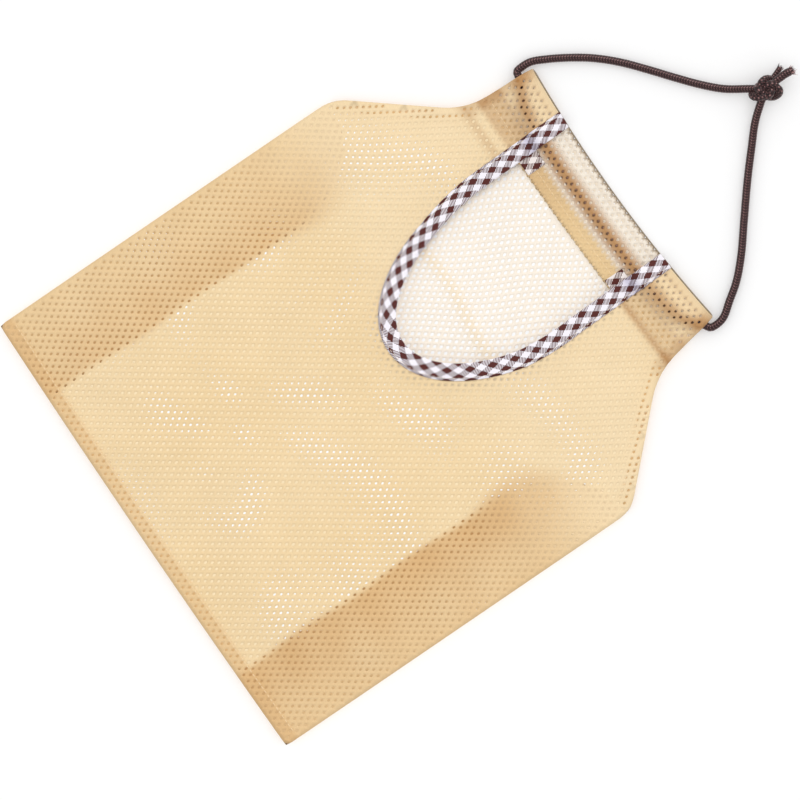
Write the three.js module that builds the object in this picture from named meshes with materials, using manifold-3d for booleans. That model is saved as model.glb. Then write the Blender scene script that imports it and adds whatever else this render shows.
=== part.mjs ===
// A hanging mesh storage bag, lying flat on a table: two mesh panels with folded-in side gussets,
// a U-shaped reach-in opening edged with bias tape, and a cord loop through the channel at the neck.
// Millimetres. X runs across the bag, Y up the bag towards its cord loop, Z up off the table.
// The origin is on the table, under the middle of the cloth.
import * as THREE from 'three';
import { mergeVertices } from 'three/addons/utils/BufferGeometryUtils.js';
import Module from 'manifold-3d';

// ---- Driving dimensions ----
const BAG_WIDTH = 320;
const BAG_HEIGHT = 371.5;
const NECK_LENGTH = 49.5; // from the top edge down to the foot of the neck
const SHOULDER_RISE = 64; // from the shoulder corner up to the foot of the neck
const NECK_BASE_WIDTH = 205;
const NECK_WIDTH = 193.4;
const SHOULDER_ROUND = 9;
const NECK_ROUND = 16;
const CORNER_ROUND = 3;

const CLOTH = 0.8; // thickness of one layer of mesh, with the loft of its knit
const GAP = 0.3; // clearance between pieces that lie on each other
const CORD_DIAMETER = 5;
const CORD_SIDES = 10;

const GUSSET_DEPTH = 55; // how far each side folds in between the panels
const GUSSET_TAPER = 71; // length over which the fold runs out towards the shoulder corner
const GUSSET_TOP_GAP = 4; // from the end of the fold to the shoulder corner
const SEAM_ALLOWANCE = 9.5; // bottom edge
const SHOULDER_ALLOWANCE = 7;
const BOTTOM_RISE = 62; // length over which the front lifts off the flat bottom seam

const OPENING_HALF_WIDTH = 55; // to the middle of the tape
const OPENING_DEPTH = 173.1; // from the top edge down to the middle of the tape
const OPENING_ROUND = 100; // height of the round end
const OPENING_OFFSET = -8; // the opening lies a little left of the middle
const OPENING_TOP_OFFSET = -4;
const TAPE_WIDTH = 10.8;
const TAPE_TAIL_WIDTH = 11;
const TAPE_TAIL_LENGTH = 14;

const HEM_DEPTH = 41.5; // from the top edge down to the lower edge of the channel's hem
const BAND_WIDTH = 15; // the double part of the hem; the cord lies just above it
const CHANNEL_SLOPE = 3; // length over which the channel's cloth climbs over the cord
const THREAD = 0.5;
const THREAD_INSET = 1.6; // of the tape's stitch line from its outer edge

// How the soft cloth lies: the neck leans left, turns a little and sags between its corners.
const LEAN = 0.075; // sideways per unit of height above the shoulders
const TURN = 0.03; // slope of the lines that run across the bag
const SAG = 5; // dip of the top edge between its corners
const SAG_RUN = 71.5; // from the top edge down to where the dip has died away

// ---- Heights up the bag ----
const NECK_BASE_HEIGHT = BAG_HEIGHT - NECK_LENGTH;
const SHOULDER_HEIGHT = NECK_BASE_HEIGHT - SHOULDER_RISE;
const GUSSET_END = SHOULDER_HEIGHT - GUSSET_TOP_GAP;
const GUSSET_STRAIGHT = SHOULDER_HEIGHT - GUSSET_TOP_GAP / 2 - GUSSET_TAPER;
const OPENING_BOTTOM = BAG_HEIGHT - OPENING_DEPTH;
const BAND_BOTTOM = BAG_HEIGHT - HEM_DEPTH;
const BAND_TOP = BAND_BOTTOM + BAND_WIDTH;
const CHANNEL_STITCH = BAND_BOTTOM + BAND_WIDTH / 2;
const SAG_START = BAG_HEIGHT - SAG_RUN;

// ---- Heights of the layers off the table, from the back panel up ----
const BACK_TOP = CLOTH;
const RUN_LOW = BACK_TOP + GAP;
const BACK_LEAF = RUN_LOW + CORD_DIAMETER + GAP;
const TAPE_UNDER = BACK_LEAF + CLOTH + GAP;
const FRONT_LEAF = TAPE_UNDER + CLOTH + GAP;
const FRONT_LOW = FRONT_LEAF + CLOTH + GAP;
const FRONT_TOP = FRONT_LOW + CLOTH;
const TAPE_OVER = FRONT_TOP + GAP;
const TAPE_TOP = TAPE_OVER + CLOTH;
const SEAM_LOW = BACK_TOP + GAP;
const SEAM_TOP = SEAM_LOW + 2 * CLOTH + GAP;
const FRONT_AT_SEAM = SEAM_TOP + GAP;

// ---- The cord's route, chosen by hand on the cloth as it lies ----
const CORD_RUN_POINTS = [
  [-105.2, 357.8, 3.6], [-98, 354.4, 3.6], [-88, 349.7, 3.6], [-70, 347.3, 3.6],
  [-40, 346.9, 3.6], [0, 347.8, 3.6], [40, 349.8, 3.6], [62, 352.1, 3.6],
  [76, 355.9, 3.6], [84.3, 361.4, 3.6], [89.2, 366.4, 3.6],
];
const LEFT_LEG_POINTS = [
  [-108.9, 359.1, 3.6], [-109.7, 363.5, 3.5], [-109.2, 369.5, 3.2], [-105.2, 378.3, 2.8],
  [-98, 390.7, 2.6],
  [-88.6, 403.9, 2.6], [-77.1, 416.2, 2.6], [-63.2, 428.2, 2.6], [-49.3, 439.5, 2.6],
  [-36.6, 450.4, 2.7], [-26.4, 460.8, 3.4], [-17.9, 473.1, 5.4],
];
const RIGHT_LEG_POINTS = [
  [92.7, 368.9, 3.6], [93.4, 373.5, 3.5], [92, 379.5, 3.2], [86, 387.9, 2.8],
  [78, 398.8, 2.6],
  [65.9, 410.7, 2.6], [48.6, 424.7, 2.6], [29, 440.7, 2.6], [13.1, 454.7, 2.8],
  [1.8, 464.9, 3.6], [-6.1, 474.3, 5.5],
];
const KNOT_CENTRE = [-11.2, 481.9, 7.1];
const KNOT_HALF = [8.4, 11.3, 7];
const KNOT_TURN = -0.34; // radians about Z: its long axis leans to the right of straight up
const LONG_TAIL_POINTS = [[-12.4, 493.1, 8.9], [-12.3, 498, 8.7], [-11.4, 504.5, 8.2]];
const SHORT_TAIL_POINTS = [[-15.7, 490.6, 3.1], [-17.2, 494, 3], [-18.6, 498, 2.9]];

// ---- Materials ----
const finish = (color, roughness) => new THREE.MeshStandardMaterial({ color, roughness, metalness: 0 });
const mesh = finish(0xe6c99a, 0.85);
const meshFolded = finish(0xd9b27a, 0.85);
const tape = finish(0xb9a3a4, 0.8);
const thread = finish(0xf2e8d6, 0.7);
const cord = finish(0x2f1a18, 0.6);

// ---- Solids ----
const wasm = await Module();
wasm.setup();

function toSolid(geometry) {
  const bare = geometry.clone();
  bare.deleteAttribute('normal');
  bare.deleteAttribute('uv');
  const merged = mergeVertices(bare, 1e-4);
  const vertProperties = new Float32Array(merged.attributes.position.array);
  const triVerts = new Uint32Array(merged.index.array);
  return new wasm.Manifold(new wasm.Mesh({ numProp: 3, vertProperties, triVerts }));
}

function toGeometry(solid) {
  const result = solid.getMesh();
  const geometry = new THREE.BufferGeometry();
  geometry.setAttribute('position', new THREE.BufferAttribute(new Float32Array(result.vertProperties), 3));
  geometry.setIndex(new THREE.BufferAttribute(new Uint32Array(result.triVerts), 1));
  return geometry;
}

/** A closed outline carried straight up from one height to another. */
function prism(points, low, high) {
  const shape = new THREE.Shape(points.map(([x, y]) => new THREE.Vector2(x, y)));
  const geometry = new THREE.ExtrudeGeometry(shape, { depth: high - low, bevelEnabled: false });
  geometry.translate(0, 0, low);
  return geometry;
}

/** A Y-Z section carried along X from one side to the other, in equal steps. */
function acrossBag(section, left, right, steps) {
  const shape = new THREE.Shape(section.map(([y, z]) => new THREE.Vector2(y, z)));
  const geometry = new THREE.ExtrudeGeometry(shape, { depth: right - left, steps, bevelEnabled: false });
  geometry.applyMatrix4(new THREE.Matrix4().makeBasis(
    new THREE.Vector3(0, 1, 0), new THREE.Vector3(0, 0, 1), new THREE.Vector3(1, 0, 0)));
  geometry.translate(left, 0, 0);
  return geometry;
}

/** A round tube along a smooth curve through the points. */
function tube(points, diameter, step) {
  const curve = new THREE.CatmullRomCurve3(points.map((p) => new THREE.Vector3(...p)));
  const ring = [];
  for (let i = 0; i < CORD_SIDES; i += 1) {
    const angle = (2 * Math.PI * i) / CORD_SIDES;
    ring.push(new THREE.Vector2(Math.cos(angle) * diameter / 2, Math.sin(angle) * diameter / 2));
  }
  const steps = Math.max(2, Math.round(curve.getLength() / step));
  return new THREE.ExtrudeGeometry(new THREE.Shape(ring), { steps, extrudePath: curve, bevelEnabled: false });
}

/** Moves the corner points of a closed outline inwards, parallel to its sides. */
function inset(corners, distance) {
  return corners.map(([x, y], i) => {
    const before = corners[(i + corners.length - 1) % corners.length];
    const after = corners[(i + 1) % corners.length];
    const inward = (a, b) => {
      const length = Math.hypot(b[0] - a[0], b[1] - a[1]);
      return [-(b[1] - a[1]) / length, (b[0] - a[0]) / length];
    };
    const [ax, ay] = inward(before, [x, y]);
    const [bx, by] = inward([x, y], after);
    const scale = distance / (1 + ax * bx + ay * by);
    return [x + (ax + bx) * scale, y + (ay + by) * scale];
  });
}

/** Rounds each corner of a closed outline with a short curve that starts and ends on its sides. */
function rounded(corners, radii) {
  const points = [];
  corners.forEach(([x, y], i) => {
    const before = corners[(i + corners.length - 1) % corners.length];
    const after = corners[(i + 1) % corners.length];
    const towards = (p) => {
      const length = Math.hypot(p[0] - x, p[1] - y);
      return [x + ((p[0] - x) * radii[i]) / length, y + ((p[1] - y) * radii[i]) / length];
    };
    const [sx, sy] = towards(before);
    const [ex, ey] = towards(after);
    const curve = new THREE.QuadraticBezierCurve(
      new THREE.Vector2(sx, sy), new THREE.Vector2(x, y), new THREE.Vector2(ex, ey));
    points.push(...curve.getPoints(3).map((p) => [p.x, p.y]));
  });
  return points;
}

/** Splits the long straight sides of an outline, so that it can bend. */
function divided(points, longest) {
  return points.flatMap(([x, y], i) => {
    const [nx, ny] = points[(i + 1) % points.length];
    const parts = Math.max(1, Math.ceil(Math.hypot(nx - x, ny - y) / longest));
    return Array.from({ length: parts }, (_, k) => [x + ((nx - x) * k) / parts, y + ((ny - y) * k) / parts]);
  });
}

const clamp01 = (value) => Math.min(1, Math.max(0, value));
const smooth = (value) => {
  const t = clamp01(value);
  return t * t * (3 - 2 * t);
};

/** Where a point of the flat pattern lies once the cloth has settled. */
function lay(x, y) {
  const above = Math.max(0, y - SHOULDER_HEIGHT);
  const dip = SAG * Math.max(0, 1 - (2 * x / NECK_WIDTH) ** 2);
  return [
    x - LEAN * above,
    y + TURN * x * clamp01(y / SHOULDER_HEIGHT) - dip * smooth((y - SAG_START) / (BAG_HEIGHT - SAG_START)),
  ];
}

function settle(geometry) {
  const position = geometry.attributes.position;
  for (let i = 0; i < position.count; i += 1) {
    const [x, y] = lay(position.getX(i), position.getY(i));
    position.setXY(i, x, y);
  }
  return geometry;
}

// ---- Outlines of the flat pattern ----
const half = BAG_WIDTH / 2;
const CORNERS = [
  [-half, 0], [half, 0], [half, SHOULDER_HEIGHT], [NECK_BASE_WIDTH / 2, NECK_BASE_HEIGHT],
  [NECK_WIDTH / 2, BAG_HEIGHT], [-NECK_WIDTH / 2, BAG_HEIGHT], [-NECK_BASE_WIDTH / 2, NECK_BASE_HEIGHT],
  [-half, SHOULDER_HEIGHT],
];
const RADII = [CORNER_ROUND, CORNER_ROUND, SHOULDER_ROUND, NECK_ROUND,
  CORNER_ROUND, CORNER_ROUND, NECK_ROUND, SHOULDER_ROUND];

const bagOutline = (distance) => divided(rounded(inset(CORNERS, distance), RADII), 24);

/** The U of the opening, moved outwards from the middle of the tape: straight sides on half an ellipse. */
function opening(outwards) {
  const top = BAG_HEIGHT + 2;
  const centreHeight = OPENING_BOTTOM + OPENING_ROUND;
  const halfWidth = OPENING_HALF_WIDTH + outwards;
  const points = [];
  for (let i = 0; i <= 3; i += 1) {
    const share = i / 3;
    const offset = OPENING_TOP_OFFSET + (OPENING_OFFSET - OPENING_TOP_OFFSET) * share;
    points.push([offset - halfWidth, top + (centreHeight - top) * share]);
  }
  for (let i = 1; i < 24; i += 1) {
    const angle = Math.PI * (1 + i / 24);
    points.push([OPENING_OFFSET + halfWidth * Math.cos(angle),
      centreHeight + (OPENING_ROUND + outwards) * Math.sin(angle)]);
  }
  for (let i = 3; i >= 0; i -= 1) {
    const share = i / 3;
    const offset = OPENING_TOP_OFFSET + (OPENING_OFFSET - OPENING_TOP_OFFSET) * share;
    points.push([offset + halfWidth, top + (centreHeight - top) * share]);
  }
  return points;
}

/** A ribbon that follows the opening, between two distances from the middle of the tape. */
const ribbon = (inner, outer, low, high) => toSolid(
  prism([...opening(outer), ...opening(inner).reverse()], low, high));

/** Everything below the bag's top edge, to trim the ribbons level with it. */
const belowTop = (height) => toSolid(
  prism([[-half, -1], [half, -1], [half, height], [-half, height]], -1, TAPE_TOP + 10));

// ---- The pieces ----
const bag = new THREE.Group();

function add(name, geometry, material) {
  geometry.computeVertexNormals();
  const piece = new THREE.Mesh(geometry, material);
  piece.name = name;
  bag.add(piece);
}

/** Height of the front panel's underside: pressed down at the bottom seam, then lifted clear. */
const frontLow = (y) => FRONT_AT_SEAM
  + (FRONT_LOW - FRONT_AT_SEAM) * smooth((y - SEAM_ALLOWANCE) / BOTTOM_RISE);

const TAPE_EDGE = -TAPE_WIDTH / 2;
const CUT_EDGE = TAPE_EDGE + CLOTH + GAP; // the panel's cut edge inside the folded tape

function makePanels() {
  add('back_panel', settle(prism(bagOutline(0), 0, BACK_TOP)), mesh);

  const heights = [0, SEAM_ALLOWANCE];
  for (let i = 1; i <= 8; i += 1) {
    heights.push(SEAM_ALLOWANCE + (BOTTOM_RISE * i) / 8);
  }
  heights.push(SHOULDER_HEIGHT, SAG_START, BAG_HEIGHT);
  const under = heights.map((y) => [y, frontLow(y)]);
  const over = heights.map((y) => [y, frontLow(y) + CLOTH]).reverse();
  const sheet = toSolid(acrossBag([...under, ...over], -half, half, 1));
  const cut = toSolid(prism(bagOutline(0), -1, FRONT_TOP + 5));
  const notch = toSolid(prism(opening(CUT_EDGE), -1, FRONT_TOP + 5));
  add('front_panel', settle(toGeometry(sheet.intersect(cut).subtract(notch))), mesh);
}

/** Depth of the folded-in side: full to GUSSET_STRAIGHT, then a quarter ellipse to the shoulder. */
const gussetDepth = (y) => {
  const share = clamp01((y - GUSSET_STRAIGHT) / GUSSET_TAPER);
  return GUSSET_DEPTH * Math.sqrt(1 - share * share);
};

/** One side fold: a hairpin section that opens outwards, lofted up the bag. */
function makeGusset(name, side) {
  const heights = [0, SEAM_ALLOWANCE];
  for (let i = 1; i <= 8; i += 1) {
    heights.push(SEAM_ALLOWANCE + (BOTTOM_RISE * i) / 8);
  }
  const topRun = 8;
  for (let i = 0; i <= topRun; i += 1) {
    heights.push(GUSSET_STRAIGHT + ((GUSSET_END - GUSSET_STRAIGHT) * i) / topRun);
  }
  const fold = 1;
  const positions = [];
  const ringSize = 10;
  heights.forEach((y) => {
    const upper = frontLow(y) - GAP - CLOTH;
    const middle = (SEAM_LOW + upper + CLOTH) / 2;
    const depth = gussetDepth(y);
    const ring = [
      [0, SEAM_LOW], [depth - fold, middle - GAP / 2 - CLOTH], [depth, middle - CLOTH / 2],
      [depth, middle + CLOTH / 2], [depth - fold, middle + GAP / 2 + CLOTH], [0, upper + CLOTH],
      [0, upper], [depth - fold - GAP, middle + GAP / 2], [depth - fold - GAP, middle - GAP / 2],
      [0, SEAM_LOW + CLOTH],
    ];
    ring.forEach(([inwards, z]) => positions.push(side * (half - inwards), y, z));
  });
  const triangles = [];
  const face = (a, b, c) => triangles.push(...(side < 0 ? [a, b, c] : [a, c, b]));
  for (let row = 0; row < heights.length - 1; row += 1) {
    for (let i = 0; i < ringSize; i += 1) {
      const a = row * ringSize + i;
      const b = row * ringSize + ((i + 1) % ringSize);
      face(a, b + ringSize, b);
      face(a, a + ringSize, b + ringSize);
    }
  }
  // The ends are fans over the two leaves and the fold.
  const cap = [[0, 1, 8], [0, 8, 9], [1, 2, 8], [2, 3, 8], [3, 7, 8], [3, 4, 7], [4, 5, 7], [5, 6, 7]];
  const last = (heights.length - 1) * ringSize;
  cap.forEach(([a, b, c]) => {
    face(a, b, c);
    face(last + a, last + c, last + b);
  });
  const geometry = new THREE.BufferGeometry();
  geometry.setAttribute('position', new THREE.Float32BufferAttribute(positions, 3));
  geometry.setIndex(triangles);
  add(name, settle(geometry), meshFolded);
}

function makeSeams() {
  const reach = half - GUSSET_DEPTH - GAP;
  const bottom = prism([[-reach, 0], [reach, 0], [reach, SEAM_ALLOWANCE], [-reach, SEAM_ALLOWANCE]],
    SEAM_LOW, SEAM_TOP);
  add('bottom_seam_allowance', settle(bottom), meshFolded);

  const outer = toSolid(prism(bagOutline(0), SEAM_LOW, FRONT_LOW - GAP));
  const inner = toSolid(prism(bagOutline(SHOULDER_ALLOWANCE), -1, TAPE_TOP));
  const rim = outer.subtract(inner);
  const low = GUSSET_END + GAP;
  const high = BAND_BOTTOM - GAP;
  for (const [name, side] of [['shoulder_seam_left', -1], ['shoulder_seam_right', 1]]) {
    const edges = [side * NECK_WIDTH / 4, side * (half + 1)].sort((a, b) => a - b);
    const window = prism([[edges[0], low], [edges[1], low], [edges[1], high], [edges[0], high]],
      0, TAPE_TOP);
    add(name, settle(toGeometry(rim.intersect(toSolid(window)))), meshFolded);
  }
}

function makeChannels() {
  const neckHalf = NECK_BASE_WIDTH / 2;
  const neck = toSolid(prism(bagOutline(CLOTH), -1, TAPE_TOP));
  const bandTop = SEAM_LOW + 2 * CLOTH;
  const fold = BAG_HEIGHT - CLOTH;
  const tunnel = [
    [BAND_BOTTOM, SEAM_LOW], [BAND_TOP, SEAM_LOW], [BAND_TOP + CHANNEL_SLOPE, BACK_LEAF],
    [fold - CLOTH, BACK_LEAF], [fold - CLOTH, SEAM_LOW], [fold, SEAM_LOW],
    [fold, BACK_LEAF + CLOTH], [BAND_TOP + CHANNEL_SLOPE - CLOTH, BACK_LEAF + CLOTH],
    [BAND_TOP - CLOTH, bandTop], [BAND_BOTTOM, bandTop],
  ];
  const back = toSolid(acrossBag(tunnel, -neckHalf, neckHalf, 16)).intersect(neck);
  add('back_channel', settle(toGeometry(back)), meshFolded);

  const leaf = toSolid(prism(divided([[-neckHalf, BAND_BOTTOM], [neckHalf, BAND_BOTTOM],
    [neckHalf, BAG_HEIGHT - CLOTH], [-neckHalf, BAG_HEIGHT - CLOTH]], 12), FRONT_LEAF, FRONT_LEAF + CLOTH));
  const cut = toSolid(prism(opening(CUT_EDGE), -1, TAPE_TOP));
  const leaves = leaf.intersect(neck).subtract(cut);
  for (const [name, side] of [['front_channel_left', -1], ['front_channel_right', 1]]) {
    const edges = [0, side * half].sort((a, b) => a - b);
    const window = prism([[edges[0], 0], [edges[1], 0], [edges[1], BAG_HEIGHT], [edges[0], BAG_HEIGHT]],
      0, TAPE_TOP);
    add(name, settle(toGeometry(leaves.intersect(toSolid(window)))), meshFolded);
  }
}

function makeTape() {
  const over = ribbon(TAPE_EDGE, TAPE_WIDTH / 2, TAPE_OVER, TAPE_TOP);
  const under = ribbon(TAPE_EDGE, TAPE_WIDTH / 2, TAPE_UNDER, TAPE_UNDER + CLOTH);
  const wall = ribbon(TAPE_EDGE, TAPE_EDGE + CLOTH, TAPE_UNDER, TAPE_TOP);
  const binding = over.add(under).add(wall).intersect(belowTop(BAG_HEIGHT));
  add('opening_binding', settle(toGeometry(binding)), tape);

  // The tape's raw ends are turned back inside, over the hem band on each side of the opening.
  const low = SEAM_LOW + 2 * CLOTH + GAP;
  for (const [name, side] of [['binding_tail_left', -1], ['binding_tail_right', 1]]) {
    const outerEdge = OPENING_TOP_OFFSET + side * (OPENING_HALF_WIDTH + TAPE_EDGE / 2);
    const innerEdge = outerEdge - side * TAPE_TAIL_WIDTH;
    const [left, right] = [innerEdge, outerEdge].sort((a, b) => a - b);
    const bottom = BAND_BOTTOM;
    const tail = prism([[left, bottom], [right, bottom], [right, bottom + TAPE_TAIL_LENGTH],
      [left, bottom + TAPE_TAIL_LENGTH]], low, low + CLOTH);
    add(name, settle(tail), tape);
  }
}

function makeStitching() {
  const line = (left, right, y, z, steps) => acrossBag(
    [[y, z], [y + THREAD, z], [y + THREAD, z + THREAD], [y, z + THREAD]], left, right, steps);
  const seamEnd = half - CORNER_ROUND;
  add('stitch_bottom', settle(line(-seamEnd, seamEnd, SEAM_ALLOWANCE - 2 * THREAD,
    frontLow(0) + CLOTH + GAP, 8)), thread);

  const neckEdge = NECK_WIDTH / 2 - THREAD;
  const tapeLeft = OPENING_TOP_OFFSET - OPENING_HALF_WIDTH - TAPE_WIDTH / 2 - 3;
  const tapeRight = OPENING_TOP_OFFSET + OPENING_HALF_WIDTH + TAPE_WIDTH / 2 + GAP;
  const overFront = FRONT_TOP + GAP;
  add('stitch_channel_left', settle(line(-neckEdge, tapeLeft, CHANNEL_STITCH, overFront, 4)), thread);
  add('stitch_channel_right', settle(line(tapeRight, neckEdge, CHANNEL_STITCH, overFront, 4)), thread);
  const betweenTails = OPENING_HALF_WIDTH + TAPE_EDGE / 2 - TAPE_TAIL_WIDTH - GAP;
  add('stitch_channel_back', settle(line(OPENING_TOP_OFFSET - betweenTails,
    OPENING_TOP_OFFSET + betweenTails, CHANNEL_STITCH, SEAM_LOW + 2 * CLOTH + GAP, 8)), thread);

  const stitchAt = TAPE_WIDTH / 2 - THREAD_INSET;
  const row = ribbon(stitchAt, stitchAt + THREAD, TAPE_TOP + GAP, TAPE_TOP + GAP + THREAD);
  add('stitch_binding', settle(toGeometry(row.intersect(belowTop(BAG_HEIGHT - 1)))), thread);
}

function makeCord() {
  const step = 2.4 * CORD_DIAMETER;
  add('cord_channel_run', tube(CORD_RUN_POINTS, CORD_DIAMETER, step), cord);
  for (const [name, points] of [['cord_leg_left', LEFT_LEG_POINTS], ['cord_leg_right', RIGHT_LEG_POINTS]]) {
    // The end at the channel's mouth is round, so that the loop can swing about it.
    const end = new THREE.SphereGeometry(CORD_DIAMETER / 2, 12, 8);
    end.translate(...points[0]);
    const leg = toSolid(tube(points, CORD_DIAMETER, step)).add(toSolid(end));
    add(name, toGeometry(leg), cord);
  }
  const knot = new THREE.SphereGeometry(1, 18, 12);
  knot.rotateX(Math.PI / 2);
  knot.scale(...KNOT_HALF);
  knot.rotateZ(KNOT_TURN);
  knot.translate(...KNOT_CENTRE);
  add('cord_knot', knot, cord);
  add('cord_tail_long', tube(LONG_TAIL_POINTS, CORD_DIAMETER, CORD_DIAMETER), cord);
  add('cord_tail_short', tube(SHORT_TAIL_POINTS, CORD_DIAMETER, CORD_DIAMETER), cord);
}

makePanels();
makeGusset('gusset_left', -1);
makeGusset('gusset_right', 1);
makeSeams();
makeChannels();
makeTape();
makeStitching();
makeCord();

// The origin goes under the middle of the cloth, which the back panel spans from end to end.
const cloth = new THREE.Box3().setFromObject(bag.getObjectByName('back_panel'));
bag.position.y = -(cloth.min.y + cloth.max.y) / 2;

export default bag;
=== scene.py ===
"""The looks of a mesh storage bag: knitted mesh cloth, checked bias tape, stitching and a braided cord loop.

The bag lies flat. Cloth pieces are worked out in the flat pattern, in millimetres from the middle of the
bottom edge, then settled sideways and lifted to the height at which each layer lies.
"""

import math

import bpy
import numpy as np
from bpy.props import FloatProperty, FloatVectorProperty, PointerProperty
from mathutils import Matrix, Vector


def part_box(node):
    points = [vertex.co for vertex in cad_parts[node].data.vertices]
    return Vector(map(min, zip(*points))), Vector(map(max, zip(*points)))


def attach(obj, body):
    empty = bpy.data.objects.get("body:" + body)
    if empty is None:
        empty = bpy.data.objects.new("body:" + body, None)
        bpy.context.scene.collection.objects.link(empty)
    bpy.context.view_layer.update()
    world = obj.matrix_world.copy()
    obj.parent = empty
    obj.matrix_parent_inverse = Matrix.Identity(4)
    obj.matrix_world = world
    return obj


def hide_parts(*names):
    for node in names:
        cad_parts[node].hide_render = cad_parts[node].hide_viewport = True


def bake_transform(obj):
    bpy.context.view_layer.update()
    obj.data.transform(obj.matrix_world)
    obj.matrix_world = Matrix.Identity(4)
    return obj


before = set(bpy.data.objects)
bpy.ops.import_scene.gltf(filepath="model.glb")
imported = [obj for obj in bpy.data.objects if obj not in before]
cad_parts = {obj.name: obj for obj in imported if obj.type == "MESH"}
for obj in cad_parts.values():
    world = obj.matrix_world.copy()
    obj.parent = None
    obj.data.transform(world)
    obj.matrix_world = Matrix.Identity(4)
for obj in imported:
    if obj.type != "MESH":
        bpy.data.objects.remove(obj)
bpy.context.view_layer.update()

bl_info = {
    "name": "Mesh storage bag",
    "version": (1, 0, 0),
    "blender": (4, 5, 0),
    "location": "View3D > Sidebar > Mesh Bag",
    "description": "Makes a flat mesh bag with a checked tape opening and a braided cord loop",
    "category": "Add Mesh",
}

MM = 0.001
NARROWEST_SHEET = 0.0101  # metres: the least flat width that a sheet can be given

# ---- The view and its light, in metres ----
SEEN_MIDDLE = (0.0204, -0.0053, 0.006)
SEEN_WIDTH = 0.5032
CAMERA_DISTANCE = 3.0
FLOOR_HALF = 3.0
FLOOR_LOW = -0.0004  # just under the bag
SKY_LIGHT = 0.80
WINDOW_LIGHT = 0.95

# ---- Sizes of the flat pattern, in millimetres ----
BACK_LOW, BACK_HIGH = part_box("back_panel")
SHIFT = -BACK_LOW.y / MM  # from the bottom edge up to the frame's origin
HALF = (BACK_HIGH.x - BACK_LOW.x) / MM / 2
BAG_HEIGHT = 371.5
SHOULDER_HEIGHT = 258.0
NECK_BASE_HEIGHT = 322.0
NECK_BASE_HALF = 102.5
NECK_HALF = 96.7
GUSSET_DEPTH = 55.0
GUSSET_STRAIGHT = 185.0
GUSSET_TAPER = 71.0
GUSSET_END = 254.0
SEAM_ALLOWANCE = 9.5
SHOULDER_ALLOWANCE = 7.0
BAND_BOTTOM = 330.0
BAND_TOP = 345.0
CHANNEL_STITCH = 337.5
OPENING_HALF = 55.0
OPENING_ROUND = 100.0
OPENING_CENTRE = 298.4
OPENING_OFFSET = -8.0
OPENING_TOP_OFFSET = -4.0
TAPE_HALF = 5.4
TAPE_CLOTH = 0.8
TAPE_TURNED = 13.0  # how much of each end of the tape is turned back inside
TAIL_CLOTH = 0.5  # thickness of those ends
TAPE_GAP = 0.36  # between the front panel's middle and the tape on it
STITCH_INSET = 1.6
LEAN = 0.075  # of the neck to the left, as a share of the height above the shoulder
TURN = 0.03  # of the upper part, anticlockwise
SAG = 5.0  # of the neck's edge in its middle
SAG_START = 300.0
BOW = 1.5  # how far the bottom edge bows down in its middle
CREASE_HEIGHT = 246.0  # of the back panel's crease, seen in the opening

SIDES = (("left", -1), ("right", 1))

# ---- The knitted mesh, in millimetres ----
LEAST_INSIDE = 0.25  # from the outline to the middle of a cell that is kept
CLOSED_RIM = 1.9  # cells whose middles are nearer to the outline than this have no hole
SHARP = 0.985  # the outline's corners whose cosine is under this are kept as corners
TIP_REACH = 2.6  # from such a corner to the corner of a cell that is moved onto it
YARN_RISE = 0.09  # of the yarn between the holes
HOLE_SINK = -0.02  # at the rim of a hole

# ---- The cord's route, the same as in the solid model, before the shift to the origin ----
CORD_RUN = [
    (-105.2, 357.8, 3.6), (-98, 354.4, 3.6), (-88, 349.7, 3.6), (-70, 347.3, 3.6), (-40, 346.9, 3.6),
    (0, 347.8, 3.6), (40, 349.8, 3.6), (62, 352.1, 3.6), (76, 355.9, 3.6), (84.3, 361.4, 3.6),
    (89.2, 366.4, 3.6),
]
LEFT_LEG = [
    (-108.9, 359.1, 3.6), (-109.7, 363.5, 3.5), (-109.2, 369.5, 3.2), (-105.2, 378.3, 2.8),
    (-98, 390.7, 2.6), (-88.6, 403.9, 2.6), (-77.1, 416.2, 2.6), (-63.2, 428.2, 2.6), (-49.3, 439.5, 2.6),
    (-36.6, 450.4, 2.7), (-26.4, 460.8, 3.4), (-17.9, 473.1, 5.4),
]
RIGHT_LEG = [
    (92.7, 368.9, 3.6), (93.4, 373.5, 3.5), (92, 379.5, 3.2), (86, 387.9, 2.8), (78, 398.8, 2.6),
    (65.9, 410.7, 2.6), (48.6, 424.7, 2.6), (29, 440.7, 2.6), (13.1, 454.7, 2.8), (1.8, 464.9, 3.6),
    (-6.1, 474.3, 5.5),
]
KNOT_CENTRE = (-11.2, 481.9, 7.1)
KNOT_HALF = (8.4, 11.3, 7.0)
KNOT_TURN = -0.34
LEG_ENDS = (-13.6, 479.3, 6.4), (-10.4, 480.4, 6.8)  # where the legs are lost in the knot
LONG_TAIL = [(-12.2, 487.5, 8.6), (-12.4, 493.1, 8.9), (-12.5, 497.5, 8.7), (-12.0, 502.0, 8.2)]
SHORT_TAIL = [(-13.8, 487.0, 3.8), (-15.2, 490.6, 3.4), (-16.4, 494, 3.1), (-17.8, 497.6, 2.9)]
CORD_RADIUS = 2.5
BRAID_STEP = 0.34  # between the braid's rings
BUMP = 0.1  # height of the fine bumps of yarn and fibre

# ---- Heights of the middle of each layer, in millimetres ----
BACK_MID = 0.42
LEAF_MID = 1.5  # inner side of the channel, away from the cord
BAND_LIFT = 1.0  # the hem band is double
CORD_LIFT = 5.3  # how far the cord raises the cloth that lies over it
CORD_REACH = 7.0
LEAF_GAP = 0.95
NECK_FRONT_MID = 4.3


def linear(red, green, blue):
    """A colour given as it shows on screen, from 0 to 255, as linear light."""
    c = np.array([red, green, blue], float) / 255
    return tuple(np.where(c <= 0.04045, c / 12.92, ((c + 0.055) / 1.055) ** 2.4))


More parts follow.
